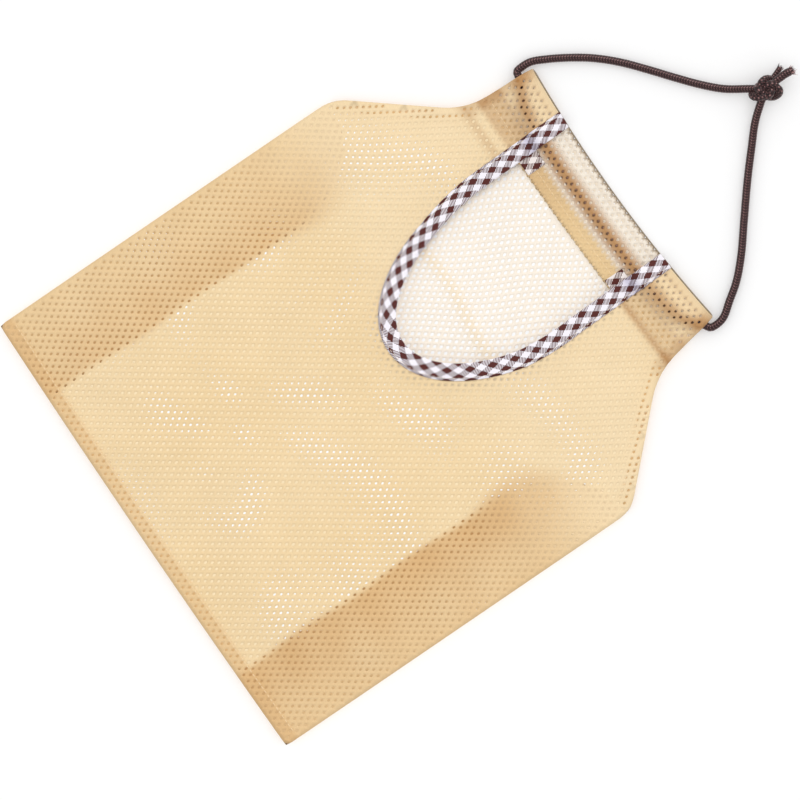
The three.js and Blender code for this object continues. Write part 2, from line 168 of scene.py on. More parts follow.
def smooth(t):
    """Rises from 0 to 1 as t does, level at both ends."""
    t = np.clip(t, 0, 1)
    return t * t * (3 - 2 * t)


def bell(t):
    """From 0 to 1: highest where t is 0."""
    return np.exp(-(t**2))


def along(y, stops, values):
    """Goes from value to value at the given stops, with a smooth rise between each two."""
    y = np.asarray(y, float)
    result = np.full(y.shape, float(values[0]))
    for low, high, before, after in zip(stops[:-1], stops[1:], values[:-1], values[1:]):
        result += (after - before) * smooth((y - low) / (high - low))
    return result


def ripple(x, y, size, seed, count=7):
    """Soft waves from -1 to 1: a sum of sines whose directions and lengths, near size, are drawn at random."""
    draw = np.random.default_rng(seed)
    total = np.zeros(np.broadcast(x, y).shape)
    for _ in range(count):
        angle, phase = draw.uniform(0, 2 * math.pi, 2)
        length = size * draw.uniform(0.6, 1.6)
        total += np.sin(2 * math.pi * (x * math.cos(angle) + y * math.sin(angle)) / length + phase)
    return total / (0.6 * count)


def lay(x, y):
    """Where a point of the flat pattern lies: the neck leans left and sags, and the bottom bows a little."""
    above = np.maximum(0, y - SHOULDER_HEIGHT)
    dip = SAG * np.maximum(0, 1 - (x / NECK_HALF) ** 2)
    sag = dip * smooth((y - SAG_START) / (BAG_HEIGHT - SAG_START))
    bow = BOW * np.maximum(0, 1 - (x / HALF) ** 2) * smooth(1 - y / 90)
    return x - LEAN * above, y + TURN * x * np.clip(y / SHOULDER_HEIGHT, 0, 1) - sag - bow


def laid(x, y, z):
    """Points of the flat pattern where they lie, at a height."""
    return np.stack(np.broadcast_arrays(*lay(x, y), z), -1)


def half_width(y):
    """Half of the pattern's width at a height."""
    stops = [0, SHOULDER_HEIGHT, NECK_BASE_HEIGHT, BAG_HEIGHT]
    return np.interp(y, stops, [HALF, HALF, NECK_BASE_HALF, NECK_HALF])


def gusset_depth(y):
    """Depth of the folded-in side: full, then a quarter ellipse up to the shoulder."""
    share = np.clip((y - GUSSET_STRAIGHT) / GUSSET_TAPER, 0, 1)
    return GUSSET_DEPTH * np.sqrt(1 - share**2)


def cord_rise(x, y):
    """From 0 to 1: how much the cord in the channel lifts the cloth, a bell curve across the cord."""
    run = np.array([LEFT_LEG[0], *CORD_RUN, RIGHT_LEG[0]])
    laid_x, laid_y = lay(x, y)
    return bell((laid_y - np.interp(laid_x, run[:, 0], run[:, 1])) / CORD_REACH)


def leaf_height(x, y):
    """The channel's inner side: low near the top fold, over the cord, then up on the double band."""
    band = BAND_LIFT * smooth((BAND_TOP + 1 - y) / 3)
    return LEAF_MID + band + CORD_LIFT * cord_rise(x, y)


def front_height(x, y):
    """The front panel: pressed down along its edges, puffed between them, and raised by the cord."""
    edge = along(y, [0, 12, 70, 225, 262, 330], [3.7, 3.9, 6.2, 6.0, 3.3, NECK_FRONT_MID])
    crown = along(y, [4, 75, 200, 324, 334, 346], [3.7, 8.8, 8.3, 6.2, NECK_FRONT_MID + 0.7, NECK_FRONT_MID])
    inward = smooth((half_width(y) - np.abs(x)) / 45)
    free = inward * smooth((y - 6) / 40) * smooth((338 - y) / 40)
    waves = 0.55 * ripple(x, y, 95, 3) + 0.22 * ripple(x + 0.6 * y, y, 38, 8)
    return edge + (crown - edge) * inward + free * waves + CORD_LIFT * cord_rise(x, y)


def from_crease(x, y):
    """How far a point is above the back panel's wavy crease."""
    return y - CREASE_HEIGHT + 3 * np.sin(x / 17)


def back_height(x, y):
    """The back panel: flat on the table, with low soft creases."""
    inward = smooth((half_width(y) - np.abs(x)) / 30) * smooth(y / 30) * smooth((330 - y) / 25)
    crease = bell(from_crease(x, y) / 5) * smooth((46 - np.abs(x + 8)) / 14)
    return BACK_MID + inward * (0.3 + 0.28 * ripple(x, y, 60, 5)) + 0.9 * crease


# ---- Outlines ----
def rounded(corners, radii):
    """Rounds each corner of a closed outline with a short curve that starts and ends on its sides."""
    corners = np.array(corners, float)
    before, after = np.roll(corners, 1, 0), np.roll(corners, -1, 0)
    radii = np.array(radii, float)[:, None]
    start = corners + (before - corners) / np.linalg.norm(before - corners, axis=1)[:, None] * radii
    end = corners + (after - corners) / np.linalg.norm(after - corners, axis=1)[:, None] * radii
    t = np.linspace(0, 1, 6)[None, :, None]
    curve = (1 - t) ** 2 * start[:, None] + 2 * t * (1 - t) * corners[:, None] + t**2 * end[:, None]
    return curve.reshape(-1, 2)


def bag_outline(inset=0.0):
    """The bag's outline, moved inwards parallel to its sides."""
    corners = np.array([
        (-HALF, 0), (HALF, 0), (HALF, SHOULDER_HEIGHT), (NECK_BASE_HALF, NECK_BASE_HEIGHT),
        (NECK_HALF, BAG_HEIGHT), (-NECK_HALF, BAG_HEIGHT), (-NECK_BASE_HALF, NECK_BASE_HEIGHT),
        (-HALF, SHOULDER_HEIGHT),
    ], float)
    sides = np.roll(corners, -1, 0) - corners
    inward = np.stack([-sides[:, 1], sides[:, 0]], 1) / np.linalg.norm(sides, axis=1)[:, None]
    ahead = np.roll(inward, 1, 0)
    move = (inward + ahead) / (1 + (inward * ahead).sum(1))[:, None]
    return rounded(corners + move * inset, [1.5, 1.5, 9, 16, 2, 2, 16, 9])


def opening(outwards=0.0, steps=64, sides=12):
    """The U of the opening, moved outwards from the middle of its tape: straight sides on half an ellipse."""
    half = OPENING_HALF + outwards
    share = np.linspace(0, 1, sides)
    offset = OPENING_TOP_OFFSET + (OPENING_OFFSET - OPENING_TOP_OFFSET) * share
    height = BAG_HEIGHT + (OPENING_CENTRE - BAG_HEIGHT) * share
    angle = math.pi * (1 + np.arange(1, steps) / steps)
    left = np.stack([offset - half, height], 1)
    bow = np.stack([OPENING_OFFSET + half * np.cos(angle),
                    OPENING_CENTRE + (OPENING_ROUND + outwards) * np.sin(angle)], 1)
    right = np.stack([offset + half, height], 1)[::-1]
    return np.concatenate([left, bow, right])


def from_edge(points, outline):
    """How far each point is inside a closed outline, and the nearest point on it."""
    best = np.full(len(points), 1e9)
    near = np.zeros_like(points)
    inside = np.zeros(len(points), bool)
    for start, end in zip(outline, np.roll(outline, -1, 0)):
        side = end - start
        share = np.clip((points - start) @ side / max(side @ side, 1e-12), 0, 1)
        foot = start + share[:, None] * side
        far = np.linalg.norm(points - foot, axis=1)
        closer = far < best
        best = np.where(closer, far, best)
        near[closer] = foot[closer]
        rise = side[1] if abs(side[1]) > 1e-9 else 1e-9
        crosses = (start[1] > points[:, 1]) != (end[1] > points[:, 1])
        inside ^= crosses & (points[:, 0] < start[0] + (points[:, 1] - start[1]) * side[0] / rise)
    return np.where(inside, best, -best), near


def inside_opening(x, y):
    """How far a point of the flat pattern is inside the middle line of the opening's tape."""
    return from_edge(np.stack([x, y], 1), opening())[0]


def mirrored(half_widths, heights):
    """A closed outline that is the same on both sides of the middle line."""
    right, left = np.stack([half_widths, heights], 1), np.stack([-half_widths, heights], 1)
    return np.concatenate([right, left[::-1]])


def unit(v):
    return v / np.maximum(np.linalg.norm(v, axis=-1, keepdims=True), 1e-9)


def distances(line):
    """How far along a line each of its points is."""
    return np.concatenate([[0], np.cumsum(np.linalg.norm(np.diff(line, axis=0), axis=1))])


def spaced(line, count):
    """A line as that many evenly spaced points."""
    far = distances(line)
    even = np.linspace(0, far[-1], count)
    return np.stack([np.interp(even, far, c) for c in line.T], 1)


# ---- Meshes ----
def new_mesh(name, points, faces, material, tint=None, uv=None, flat_from=None):
    """A piece from points in millimetres, before the shift, and triangles or quads as rows of point numbers.

    tint colours each point, uv places each point on a pattern, and faces from flat_from on are flat.
    """
    mesh = bpy.data.meshes.new(name)
    place = (np.asarray(points, float) - (0, SHIFT, 0)) * MM
    count, size = faces.shape
    mesh.vertices.add(len(place))
    mesh.vertices.foreach_set("co", place.astype(np.float32).ravel())
    mesh.loops.add(count * size)
    mesh.loops.foreach_set("vertex_index", faces.astype(np.int32).ravel())
    mesh.polygons.add(count)
    mesh.polygons.foreach_set("loop_start", np.arange(0, count * size, size, dtype=np.int32))
    mesh.update(calc_edges=True)
    level = np.ones(count, bool)
    if flat_from is not None:
        level[flat_from:] = False
    mesh.polygons.foreach_set("use_smooth", level)
    if tint is not None:
        colour = np.ones((len(place), 4), np.float32)
        colour[:, :3] = tint
        mesh.attributes.new("tint", "FLOAT_COLOR", "POINT").data.foreach_set("color", colour.ravel())
    if uv is not None:
        layer = mesh.uv_layers.new(name="pattern")
        layer.data.foreach_set("uv", uv[faces.ravel()].astype(np.float32).ravel())
    mesh.materials.append(material)
    if mesh.validate():
        print(name, "had faces that were mended")
    piece = bpy.data.objects.new(name, mesh)
    bpy.context.scene.collection.objects.link(piece)
    return piece


def knit(outline, sizes, turn=0.0, start=(0.0, 0.0), seed=1, hole=1.0):
    """Divides a flat outline into the cells of a knitted mesh.

    The cells are rhombuses whose middles lie on a lattice of width pitch_x and height pitch_y, staggered by
    half in each row. Each has an oval hole of six sides. Corners on the rim move onto the outline, and a
    cell that is too near the rim stays closed. hole scales the holes: a number, or one for each place.
    """
    draw = np.random.default_rng(seed)
    pitch = np.array([sizes.pitch_x, sizes.pitch_y]) / MM / 2
    turning = np.array([[math.cos(turn), math.sin(turn)], [-math.sin(turn), math.cos(turn)]])
    spread = (outline - start) @ turning.T / pitch
    low, high = np.floor(spread.min(0)).astype(int) - 1, np.ceil(spread.max(0)).astype(int) + 1
    p, q = np.meshgrid(np.arange(low[0], high[0] + 1), np.arange(low[1], high[1] + 1))
    staggered = (p + q) % 2 == 0
    index = np.stack([p[staggered], q[staggered]], 1)

    def place(steps):
        return steps * pitch @ turning + start

    inner, _ = from_edge(place(index), outline)
    index, inner = index[inner > LEAST_INSIDE], inner[inner > LEAST_INSIDE]
    corner_index = (index[:, None] + np.array([(1, 0), (0, 1), (-1, 0), (0, -1)])).reshape(-1, 2)
    unique, cell = np.unique(corner_index, axis=0, return_inverse=True)
    cell = cell.reshape(-1, 4)
    corners = place(unique)

    sides = np.stack([cell, np.roll(cell, -1, 1)], 2).reshape(-1, 2)
    _, which, uses = np.unique(np.sort(sides, axis=1), axis=0, return_inverse=True, return_counts=True)
    rim = sides[uses[which.ravel()] == 1]
    on_rim = np.unique(rim)
    _, near = from_edge(corners[on_rim], outline)
    corners[on_rim] = near
    ahead, behind = np.roll(outline, -1, 0) - outline, outline - np.roll(outline, 1, 0)
    cosine = (unit(ahead) * unit(behind)).sum(1)
    free = on_rim.copy()
    for tip in np.argsort(cosine)[:24]:
        if cosine[tip] < SHARP:
            gap = np.linalg.norm(corners[free] - outline[tip], axis=1)
            pick = int(np.argmin(gap))
            if gap[pick] < TIP_REACH:
                corners[free[pick]] = outline[tip]
                free = np.delete(free, pick)

    open_cell = inner > CLOSED_RIM
    holes = index[open_cell]
    scale = hole(place(holes)) if callable(hole) else hole
    grow = np.reshape(scale * draw.uniform(0.93, 1.05, len(holes)), (-1, 1))
    across, up = sizes.hole_x / MM / 2, sizes.hole_y / MM / 2
    side = 0.46 * up
    oval = np.array([(across, -side), (across, side), (0, up), (-across, side), (-across, -side), (0, -up)])
    ring = (place(holes)[:, None] + (oval @ turning)[None] * grow[:, :, None]).reshape(-1, 2)
    first = len(corners)
    r = first + np.arange(len(holes) * 6).reshape(-1, 6)
    e, n, w, s = cell[open_cell].T
    top = np.concatenate([
        np.stack(t, 1) for t in (
            (e, r[:, 1], r[:, 0]), (e, n, r[:, 1]), (n, r[:, 2], r[:, 1]), (n, r[:, 3], r[:, 2]),
            (n, w, r[:, 3]), (w, r[:, 4], r[:, 3]), (w, s, r[:, 4]), (s, r[:, 5], r[:, 4]),
            (s, r[:, 0], r[:, 5]), (s, e, r[:, 0]))
    ])
    e, n, w, s = cell[~open_cell].T
    top = np.concatenate([top, np.stack([e, n, w], 1), np.stack([w, s, e], 1)])
    inside = np.stack([r, np.roll(r, -1, 1)], 2).reshape(-1, 2)
    relief = np.concatenate([np.full(first, YARN_RISE), np.full(len(ring), HOLE_SINK)])
    return {"flat": np.concatenate([corners, ring]), "top": top, "walls": np.concatenate([inside, rim[:, ::-1]]),
            "relief": relief}


def cloth(name, grid, surface, tint, thick):
    """A closed piece of mesh cloth: a surface of two parameters, moved out along its normal to both sides.

    The normal is the cross product of the surface's slopes along the two parameters.
    """
    flat = grid["flat"]
    step = 0.05
    mid = surface(*flat.T)
    slope_u = surface(flat[:, 0] + step, flat[:, 1]) - mid
    slope_v = surface(flat[:, 0], flat[:, 1] + step) - mid
    normal = np.cross(slope_u, slope_v)
    normal /= np.maximum(np.linalg.norm(normal, axis=1), 1e-9)[:, None]
    out = normal * (thick / 2 + grid["relief"])[:, None]
    count = len(flat)
    a, b = grid["walls"].T
    walls = np.concatenate([np.stack([a, b, b + count], 1), np.stack([a, b + count, a + count], 1)])
    top = grid["top"]
    faces = np.concatenate([top, top[:, ::-1] + count, walls])
    colour = tint(*flat.T)
    return new_mesh(name, np.concatenate([mid + out, mid - out]), faces, knitted(),
                    tint=np.concatenate([colour, colour]), flat_from=2 * len(top))


def level_sheet(height):
    """A surface that lies where the pattern settles, at a height."""
    return lambda x, y: laid(x, y, height(x, y))


def profile_sheet(ys, zs, lifts):
    """A surface carried across the bag: a profile of heights up the bag and off the table, by length along it."""
    ys, zs, lifts = (np.asarray(a, float) for a in (ys, zs, lifts))
    length = distances(np.stack([ys, zs], 1))

    def surface(x, s):
        y, z, lift = (np.interp(s, length, a) for a in (ys, zs, lifts))
        return laid(x, y, z + lift * CORD_LIFT * cord_rise(x, y))
    return surface, length


def tube_faces(rows, around, capped=True):
    """Quads of a tube of rings that run anticlockwise about its way, so that they face outwards.

    Each end is closed by a strip of quads across its ring, which has an even number of points.
    """
    base = np.arange(rows - 1)[:, None] * around
    a = np.arange(around)
    b = (a + 1) % around
    sides = np.stack([base + a, base + b, base + b + around, base + a + around], 2).reshape(-1, 4)
    if not capped:
        return sides
    i = np.arange(around // 2 - 1)
    cap = np.stack([i, i + 1, around - 2 - i, around - 1 - i], 1)
    return np.concatenate([sides, cap[:, ::-1], cap + (rows - 1) * around])


def curve_through(points, step):
    """Evenly spaced points on a smooth curve through the given ones: a centripetal Catmull-Rom spline."""
    p = np.asarray(points, float)
    p = np.concatenate([2 * p[:1] - p[1:2], p, 2 * p[-1:] - p[-2:-1]])
    knots = np.concatenate([[0], np.cumsum(np.diff(distances(p)) ** 0.5)])
    parts = []
    for i in range(len(p) - 3):
        t = np.linspace(knots[i + 1], knots[i + 2], 40, endpoint=i == len(p) - 4)[:, None]

        def mix(first, second, low, high):
            return (high - t) / (high - low) * first + (t - low) / (high - low) * second

        k = knots[i:i + 4]
        a = [mix(p[i + j], p[i + j + 1], k[j], k[j + 1]) for j in range(3)]
        b = [mix(a[0], a[1], k[0], k[2]), mix(a[1], a[2], k[1], k[3])]
        parts.append(mix(b[0], b[1], k[1], k[2]))
    line = np.concatenate(parts)
    return spaced(line, max(2, round(distances(line)[-1] / step)) + 1)


def braid(line, radius, sizes, start_phase=0.0, reference=(0, 0, 1), closed=False, around=24, taper=None,
          veil=0.0):
    """Points, quads and colours of a braided cord along an even line.

    Round the line the cord has eight ribs of slanting strands, whose slant alternates, so that each pair
    makes a row of Vs. The radius swells on each strand. The colour is painted shade between the strands
    and lightens on each strand, with a painted highlight on the crests, strongest on some ribs.
    """
    tangent = unit(np.gradient(line, axis=0) if not closed else np.roll(line, -1, 0) - np.roll(line, 1, 0))
    up = np.broadcast_to(np.asarray(reference, float), line.shape)
    normal = unit(up - (up * tangent).sum(1, keepdims=True) * tangent)
    side = np.cross(tangent, normal)
    length = distances(line)
    angle = np.linspace(0, 2 * math.pi, around, endpoint=False)
    ribs = angle / (2 * math.pi) * 4
    slant = np.abs((ribs % 1) * 2 - 1)
    phase = length[:, None] / (sizes.braid_pitch / MM) + 0.95 * slant[None] + start_phase
    strand = 0.5 + 0.5 * np.cos(2 * math.pi * phase)
    seam = 0.5 + 0.5 * np.cos(2 * math.pi * 2 * ribs)[None]
    ridge = strand * (1 - 0.35 * seam)
    swell = 1 + 0.11 * (ridge - 0.5)
    if not closed:
        left = np.minimum(length, length[-1] - length)
        cap = np.sqrt(np.clip(1 - (1 - np.clip(left / radius, 0, 1)) ** 2, 0.0004, 1))
        swell = swell * cap[:, None]
    if taper is not None:
        swell = swell * np.interp(length / length[-1], [0, 1], taper)[:, None]
    ring = normal[:, None] * np.cos(angle)[None, :, None] + side[:, None] * np.sin(angle)[None, :, None]
    points = (line[:, None] + ring * (radius * swell)[:, :, None]).reshape(-1, 3)
    # Painted shade between the strands (cord_dark) and a painted highlight (glint) on their crests.
    dark, mid, light = (np.array(c) for c in (sizes.cord_dark, sizes.cord_mid, sizes.cord_painted_highlight))
    rib_light = 0.55 + 0.45 * np.cos(2 * math.pi * (ribs + 0.13))[None]
    glint = (smooth((ridge - 0.62) / 0.3) * rib_light)[:, :, None]
    body = dark + (mid - dark) * smooth(ridge * 1.3)[:, :, None]
    colour = (body + (light - body) * glint).reshape(-1, 3)
    # veil tints the cord toward the mesh's painted shade colour, for the cloth that covers it in the channel.
    colour = colour * (1 - veil) + np.array(sizes.mesh_shade) * veil
    rows = len(line)
    faces = tube_faces(rows, around, capped=not closed)
    if closed:
        a = np.arange(around)
        b = (a + 1) % around
        last = (rows - 1) * around
        faces = np.concatenate([faces, np.stack([last + a, last + b, b, a], 1)])
    return points, faces, colour


def to_end(count):
    """For each of a row of points, how many steps it is from the nearer end."""
    return np.minimum(np.arange(count), np.arange(count)[::-1])


def joined(parts):
    """Several (points, quads, colours) as one."""
    start, faces = 0, []
    for points, quads, _ in parts:
        faces.append(quads + start)
        start += len(points)
    return np.concatenate([p[0] for p in parts]), np.concatenate(faces), np.concatenate([p[2] for p in parts])


def strands(starts, ways, length, radius, bend, colours, seed):
    """Short loose fibres: four-sided cones along curves that start along ways and bend aside."""
    draw = np.random.default_rng(seed)
    count, rows = len(starts), 5
    t = np.linspace(0, 1, rows)[None, :, None]
    reach = length * draw.uniform(0.5, 1.15, (count, 1, 1))
    aside = unit(draw.normal(size=(count, 3)))[:, None]
    line = starts[:, None] + (ways[:, None] * t + aside * bend * t**2) * reach
    side = unit(np.cross(ways, np.array([0.31, 0.2, 0.93])))[:, None, None]
    other = unit(np.cross(ways, side[:, 0, 0]))[:, None, None]
    angle = (np.arange(4) * 2 * math.pi / 4)[None, None, :, None]
    thick = (radius * (1 - 0.85 * t))[:, :, :, None]
    ring = line[:, :, None] + (side * np.cos(angle) + other * np.sin(angle)) * thick
    base = (np.arange(count) * rows * 4)[:, None, None]
    faces = (base + tube_faces(rows, 4)[None]).reshape(-1, 4)
    colour = np.repeat(np.array(colours)[draw.integers(0, len(colours), count)], rows * 4, axis=0)
    return ring.reshape(-1, 3), faces, colour


def stitches(line, length=2.3, gap=0.9, radius=0.2, sink=0.22):
    """A row of sewn stitches along a line: short bowed threads whose ends dip into the cloth."""
    far = distances(line)
    starts = np.arange(gap, far[-1] - length, length + gap)
    rows, around = 6, 6
    t = np.linspace(0, 1, rows)
    where = starts[:, None] + t[None] * length
    middle = np.stack([np.interp(where, far, c) for c in line.T], 2)
    up = np.array([0, 0, 1.0])
    middle = middle + up * (radius * 0.6 - sink * (2 * t - 1) ** 4)[None, :, None]
    way = unit(np.gradient(middle, axis=1))
    side = unit(np.cross(way, up))
    angle = np.linspace(0, 2 * math.pi, around, endpoint=False)
    thick = radius * np.sqrt(np.clip(1.02 - (2 * t - 1) ** 6, 0.03, 1))
    ring = up * np.cos(angle)[:, None] + side[:, :, None] * np.sin(angle)[:, None]
    points = middle[:, :, None] + ring * thick[None, :, None, None]
    base = (np.arange(len(starts)) * rows * around)[:, None, None]
    faces = (base + tube_faces(rows, around)[None]).reshape(-1, 4)
    return points.reshape(-1, 3), faces


def sewn(piece, slot, *nodes, shadow=False):
    """Makes a piece part of the bag, in place of the solid model's nodes."""
    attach(piece, "bag")
    if nodes:
        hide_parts(*nodes)
    piece.visible_shadow = shadow
    return piece


def rim_roll(name, line, half_across, half_up, tint):
    """The rounded edge where two layers meet: an oval section carried along a line."""
    tangent = unit(np.gradient(line, axis=0))
    side = unit(np.cross((0, 0, 1), tangent))
    rows, around = len(line), 10
    angle = np.linspace(0, 2 * math.pi, around, endpoint=False)
    across, upward = (np.broadcast_to(half, rows).astype(float) for half in (half_across, half_up))
    close = np.minimum(1, np.sqrt(to_end(rows) / 2 + 0.01))
    ring = (side[:, None] * (np.cos(angle)[None] * (across * close)[:, None])[:, :, None]
            + np.array([0, 0, 1.0]) * (np.sin(angle)[None] * (upward * close)[:, None])[:, :, None])
    points = (line[:, None] + ring).reshape(-1, 3)
    return sewn(new_mesh(name, points, tube_faces(rows, around), knitted(), tint=tint), "mesh")


# ---- Materials ----
def new_material(name, roughness, sheen=0.0):
    material = bpy.data.materials.new(name)
    material.use_nodes = True
    shader = material.node_tree.nodes["Principled BSDF"]
    shader.inputs["Roughness"].default_value = roughness
    shader.inputs["Specular IOR Level"].default_value = 0.25
    shader.inputs["Sheen Weight"].default_value = sheen
    return material, material.node_tree, shader


def add(tree, kind, inputs=(), **settings):
    """A new node with its settings, and its inputs either linked or given a value."""
    node = tree.nodes.new(kind)
    for key, value in settings.items():
        setattr(node, key, value)
    for key, value in dict(inputs).items():
        if isinstance(value, bpy.types.NodeSocket):
            tree.links.new(value, node.inputs[key])
        else:
            node.inputs[key].default_value = value
    return node


def maths(tree, operation, first, second=0.0):
    return add(tree, "ShaderNodeMath", {0: first, 1: second}, operation=operation).outputs[0]


def mixed(tree, factor, first, second, blend="MIX"):
    node = add(tree, "ShaderNodeMix", {0: factor, 6: first, 7: second}, data_type="RGBA", blend_type=blend)
    return node.outputs[2]


def shaded(tree, shader, colour, shade, height, strength, tall=BUMP):
    """Gives a shader a colour times a shade, and a height as fine bumps."""
    tree.links.new(mixed(tree, 1.0, colour, shade, "MULTIPLY"), shader.inputs["Base Color"])
    bump = add(tree, "ShaderNodeBump", {"Height": height, "Strength": strength, "Distance": tall * MM})
    tree.links.new(bump.outputs[0], shader.inputs["Normal"])


def grey(tree, light):
    return add(tree, "ShaderNodeCombineColor", {0: light, 1: light, 2: light}).outputs[0]


def tint_of(tree):
    """The colour that a piece's points carry."""
    return add(tree, "ShaderNodeAttribute", attribute_name="tint").outputs["Color"]


def mesh_material():
    """Matt knitted polyester: the piece's tint, its cloth colour with painted shade and light of the layers, with
    fine loops of yarn and small cloudy differences.
    """
    material, tree, shader = new_material("knitted_mesh", 0.82, 0.08)
    place = add(tree, "ShaderNodeTexCoord").outputs["Object"]
    yarn = add(tree, "ShaderNodeTexWave", {"Vector": place, "Scale": 520.0, "Distortion": 3.0, "Detail": 1.0,
                                           "Detail Scale": 2.0}, bands_direction="DIAGONAL").outputs["Fac"]
    fuzz = add(tree, "ShaderNodeTexNoise", {"Vector": place, "Scale": 1400.0, "Detail": 2.0}).outputs["Fac"]
    cloud = add(tree, "ShaderNodeTexNoise", {"Vector": place, "Scale": 45.0, "Detail": 3.0}).outputs["Fac"]
    light = add(tree, "ShaderNodeMapRange", {"Value": cloud, "To Min": 0.95, "To Max": 1.05}).outputs[0]
    loops = add(tree, "ShaderNodeMapRange", {"Value": yarn, "To Min": 0.94, "To Max": 1.03}).outputs[0]
    shade = grey(tree, maths(tree, "MULTIPLY", light, loops))
    shaded(tree, shader, tint_of(tree), shade, maths(tree, "ADD", yarn, fuzz), 0.35, 1.2 * BUMP)
    return material


def tape_material(colours):
    """Woven check on the bias: two sets of slanting stripes, dark where both are, hatched where one is."""
    material, tree, shader = new_material("checked_tape", 0.75, 0.1)
    uv = add(tree, "ShaderNodeUVMap", uv_map="pattern").outputs[0]
    parts = add(tree, "ShaderNodeSeparateXYZ", {0: uv})
    u, v = parts.outputs[0], parts.outputs[1]
    uneven = add(tree, "ShaderNodeTexNoise", {"Vector": uv, "Scale": 3.2, "Detail": 1.0}).outputs["Fac"]
    wander = maths(tree, "MULTIPLY", maths(tree, "SUBTRACT", uneven, 0.5), 0.16)
    stripes = []
    for sign in ("ADD", "SUBTRACT"):
        phase = maths(tree, "ADD", maths(tree, sign, u, v), wander)
        wave = maths(tree, "COSINE", maths(tree, "MULTIPLY", phase, math.pi))
        stripes.append(add(tree, "ShaderNodeMapRange", {"Value": wave, "From Min": -0.12, "From Max": 0.12},
                           interpolation_type="SMOOTHSTEP").outputs[0])
    first, second = stripes
    both = maths(tree, "MULTIPLY", first, second)
    one = maths(tree, "SUBTRACT", maths(tree, "ADD", first, second), maths(tree, "MULTIPLY", both, 2.0))
    hatch_place = maths(tree, "ADD", maths(tree, "MULTIPLY", u, 7.0), maths(tree, "MULTIPLY", v, 2.2))
    hatch = maths(tree, "COSINE", maths(tree, "MULTIPLY", hatch_place, 2 * math.pi))
    dark_thread = add(tree, "ShaderNodeMapRange", {"Value": hatch, "From Min": -0.5, "From Max": 0.3,
                                                   "To Min": 0.0, "To Max": 1.0}).outputs[0]
    dark_share = maths(tree, "ADD", both, maths(tree, "MULTIPLY", one, dark_thread))
    colour = mixed(tree, dark_share, (*colours.tape_light, 1), (*colours.tape_dark, 1))
    weave_u = maths(tree, "SINE", maths(tree, "MULTIPLY", maths(tree, "ADD", u, v), 75.0))
    weave_v = maths(tree, "SINE", maths(tree, "MULTIPLY", maths(tree, "SUBTRACT", u, v), 75.0))
    # The tint darkens the check: painted shade along the stitch line and where the tape steps over the band.
    shaded(tree, shader, colour, tint_of(tree), maths(tree, "MULTIPLY", weave_u, weave_v), 0.3)
    return material


def tinted_material(name, roughness, sheen, grain):
    """A yarn that takes the piece's tint, with fine fibres as grain."""
    material, tree, shader = new_material(name, roughness, sheen)
    place = add(tree, "ShaderNodeTexCoord").outputs["Object"]
    fibre = add(tree, "ShaderNodeTexNoise", {"Vector": place, "Scale": grain, "Detail": 3.0}).outputs["Fac"]
    light = add(tree, "ShaderNodeMapRange", {"Value": fibre, "To Min": 0.75, "To Max": 1.25}).outputs[0]
    shaded(tree, shader, tint_of(tree), grey(tree, light), fibre, 0.4)
    return material


def knitted():
    """The mesh's material, made the first time that it is asked for."""
    return bpy.data.materials.get("knitted_mesh") or mesh_material()


# ---- Where the cloth is pale and where it is deep ----
def blend_tone(pale, deep, share):
    """One colour for each share, from pale at 0 to deep at 1."""
    share = np.asarray(share)[:, None]
    return np.asarray(pale) * (1 - share) + np.asarray(deep) * share


def side_shade_share(x, y):
    """Painted shade from 0 to 1 over the folded-in sides, for the shade between the layers there: deepest along
    the inner fold and wavy there.
    """
    inward = half_width(y) - np.abs(x)
    depth = gusset_depth(y)
    soft = 6 + 16 * smooth((y - 165) / 60)
    fold = 1 - smooth((inward - depth + 3.5 + 1.2 * np.sin(y / 13 + np.sign(x))) / soft)
    present = smooth((depth - 3) / 24) * smooth((GUSSET_END + 4 - y) / 70)
    toward = 0.52 + 0.48 * smooth(inward / np.maximum(depth, 1) * 1.35 - 0.25)
    cloudy = 1 + 0.16 * ripple(x, y, 34, 12)
    return np.clip(fold * present * toward * cloudy * np.where(x > 0, 0.92, 0.62), 0, 1.25)


def neck_shade_share(x, y):
    """Painted shade from 0 to 1 where the neck's cloth lies double or over the cord: over the cord, whose brown
    shows through the cloth, on the band and its fold lines, near the neck's sides and under the top fold.
    """
    rise = cord_rise(x, y)
    band = smooth((y - 328) / 3) * smooth((350 - y) / 5)
    left = smooth(0.5 - x / 40)
    line = bell((y - 331.5) / 2.4) * (1 - left) + 0.9 * bell((y - 320.5) / 3.0) * left
    edge = smooth((9 - (half_width(y) - np.abs(x))) / 7) * smooth((y - 318) / 8)
    top = bell((y - 367) / 3.0)
    cloudy = 1 + 0.15 * ripple(x, y, 14, 77)
    share = (0.34 + 0.2 * left) * band + 0.95 * rise**1.8 + 0.5 * line + 0.4 * edge + 0.3 * top
    return np.clip(share * cloudy, 0, 1.1)


def front_tone(colours):
    """The front panel: cloudy, with painted shade over the folded sides and the bottom seam, darkest in the neck's
    folds and over the cord.
    """
    def tone(x, y):
        clouds = 0.5 + 0.28 * ripple(x, y, 80, 21) + 0.12 * ripple(x, y, 30, 22)
        high = 0.45 * smooth((y - 185) / 60)
        body = blend_tone(colours.mesh_front, colours.mesh_front_pale, np.clip(clouds * 0.55 + high, 0, 1))
        # Painted shade over the folded-in sides, where shade lies between the layers.
        sides = blend_tone(body, colours.mesh_deep_shade, side_shade_share(x, y))
        # Painted shade over the bottom seam allowance, deeper towards the ends.
        bottom = smooth((SEAM_ALLOWANCE + 1.5 - y) / 3) * (0.42 + 0.35 * (x / HALF) ** 2)
        sides = blend_tone(sides, colours.mesh_deep_shade, bottom)
        # Painted shade in the neck's folds and over the cord.
        return blend_tone(sides, colours.mesh_neck_shade, neck_shade_share(x, y) * 0.9)
    return tone


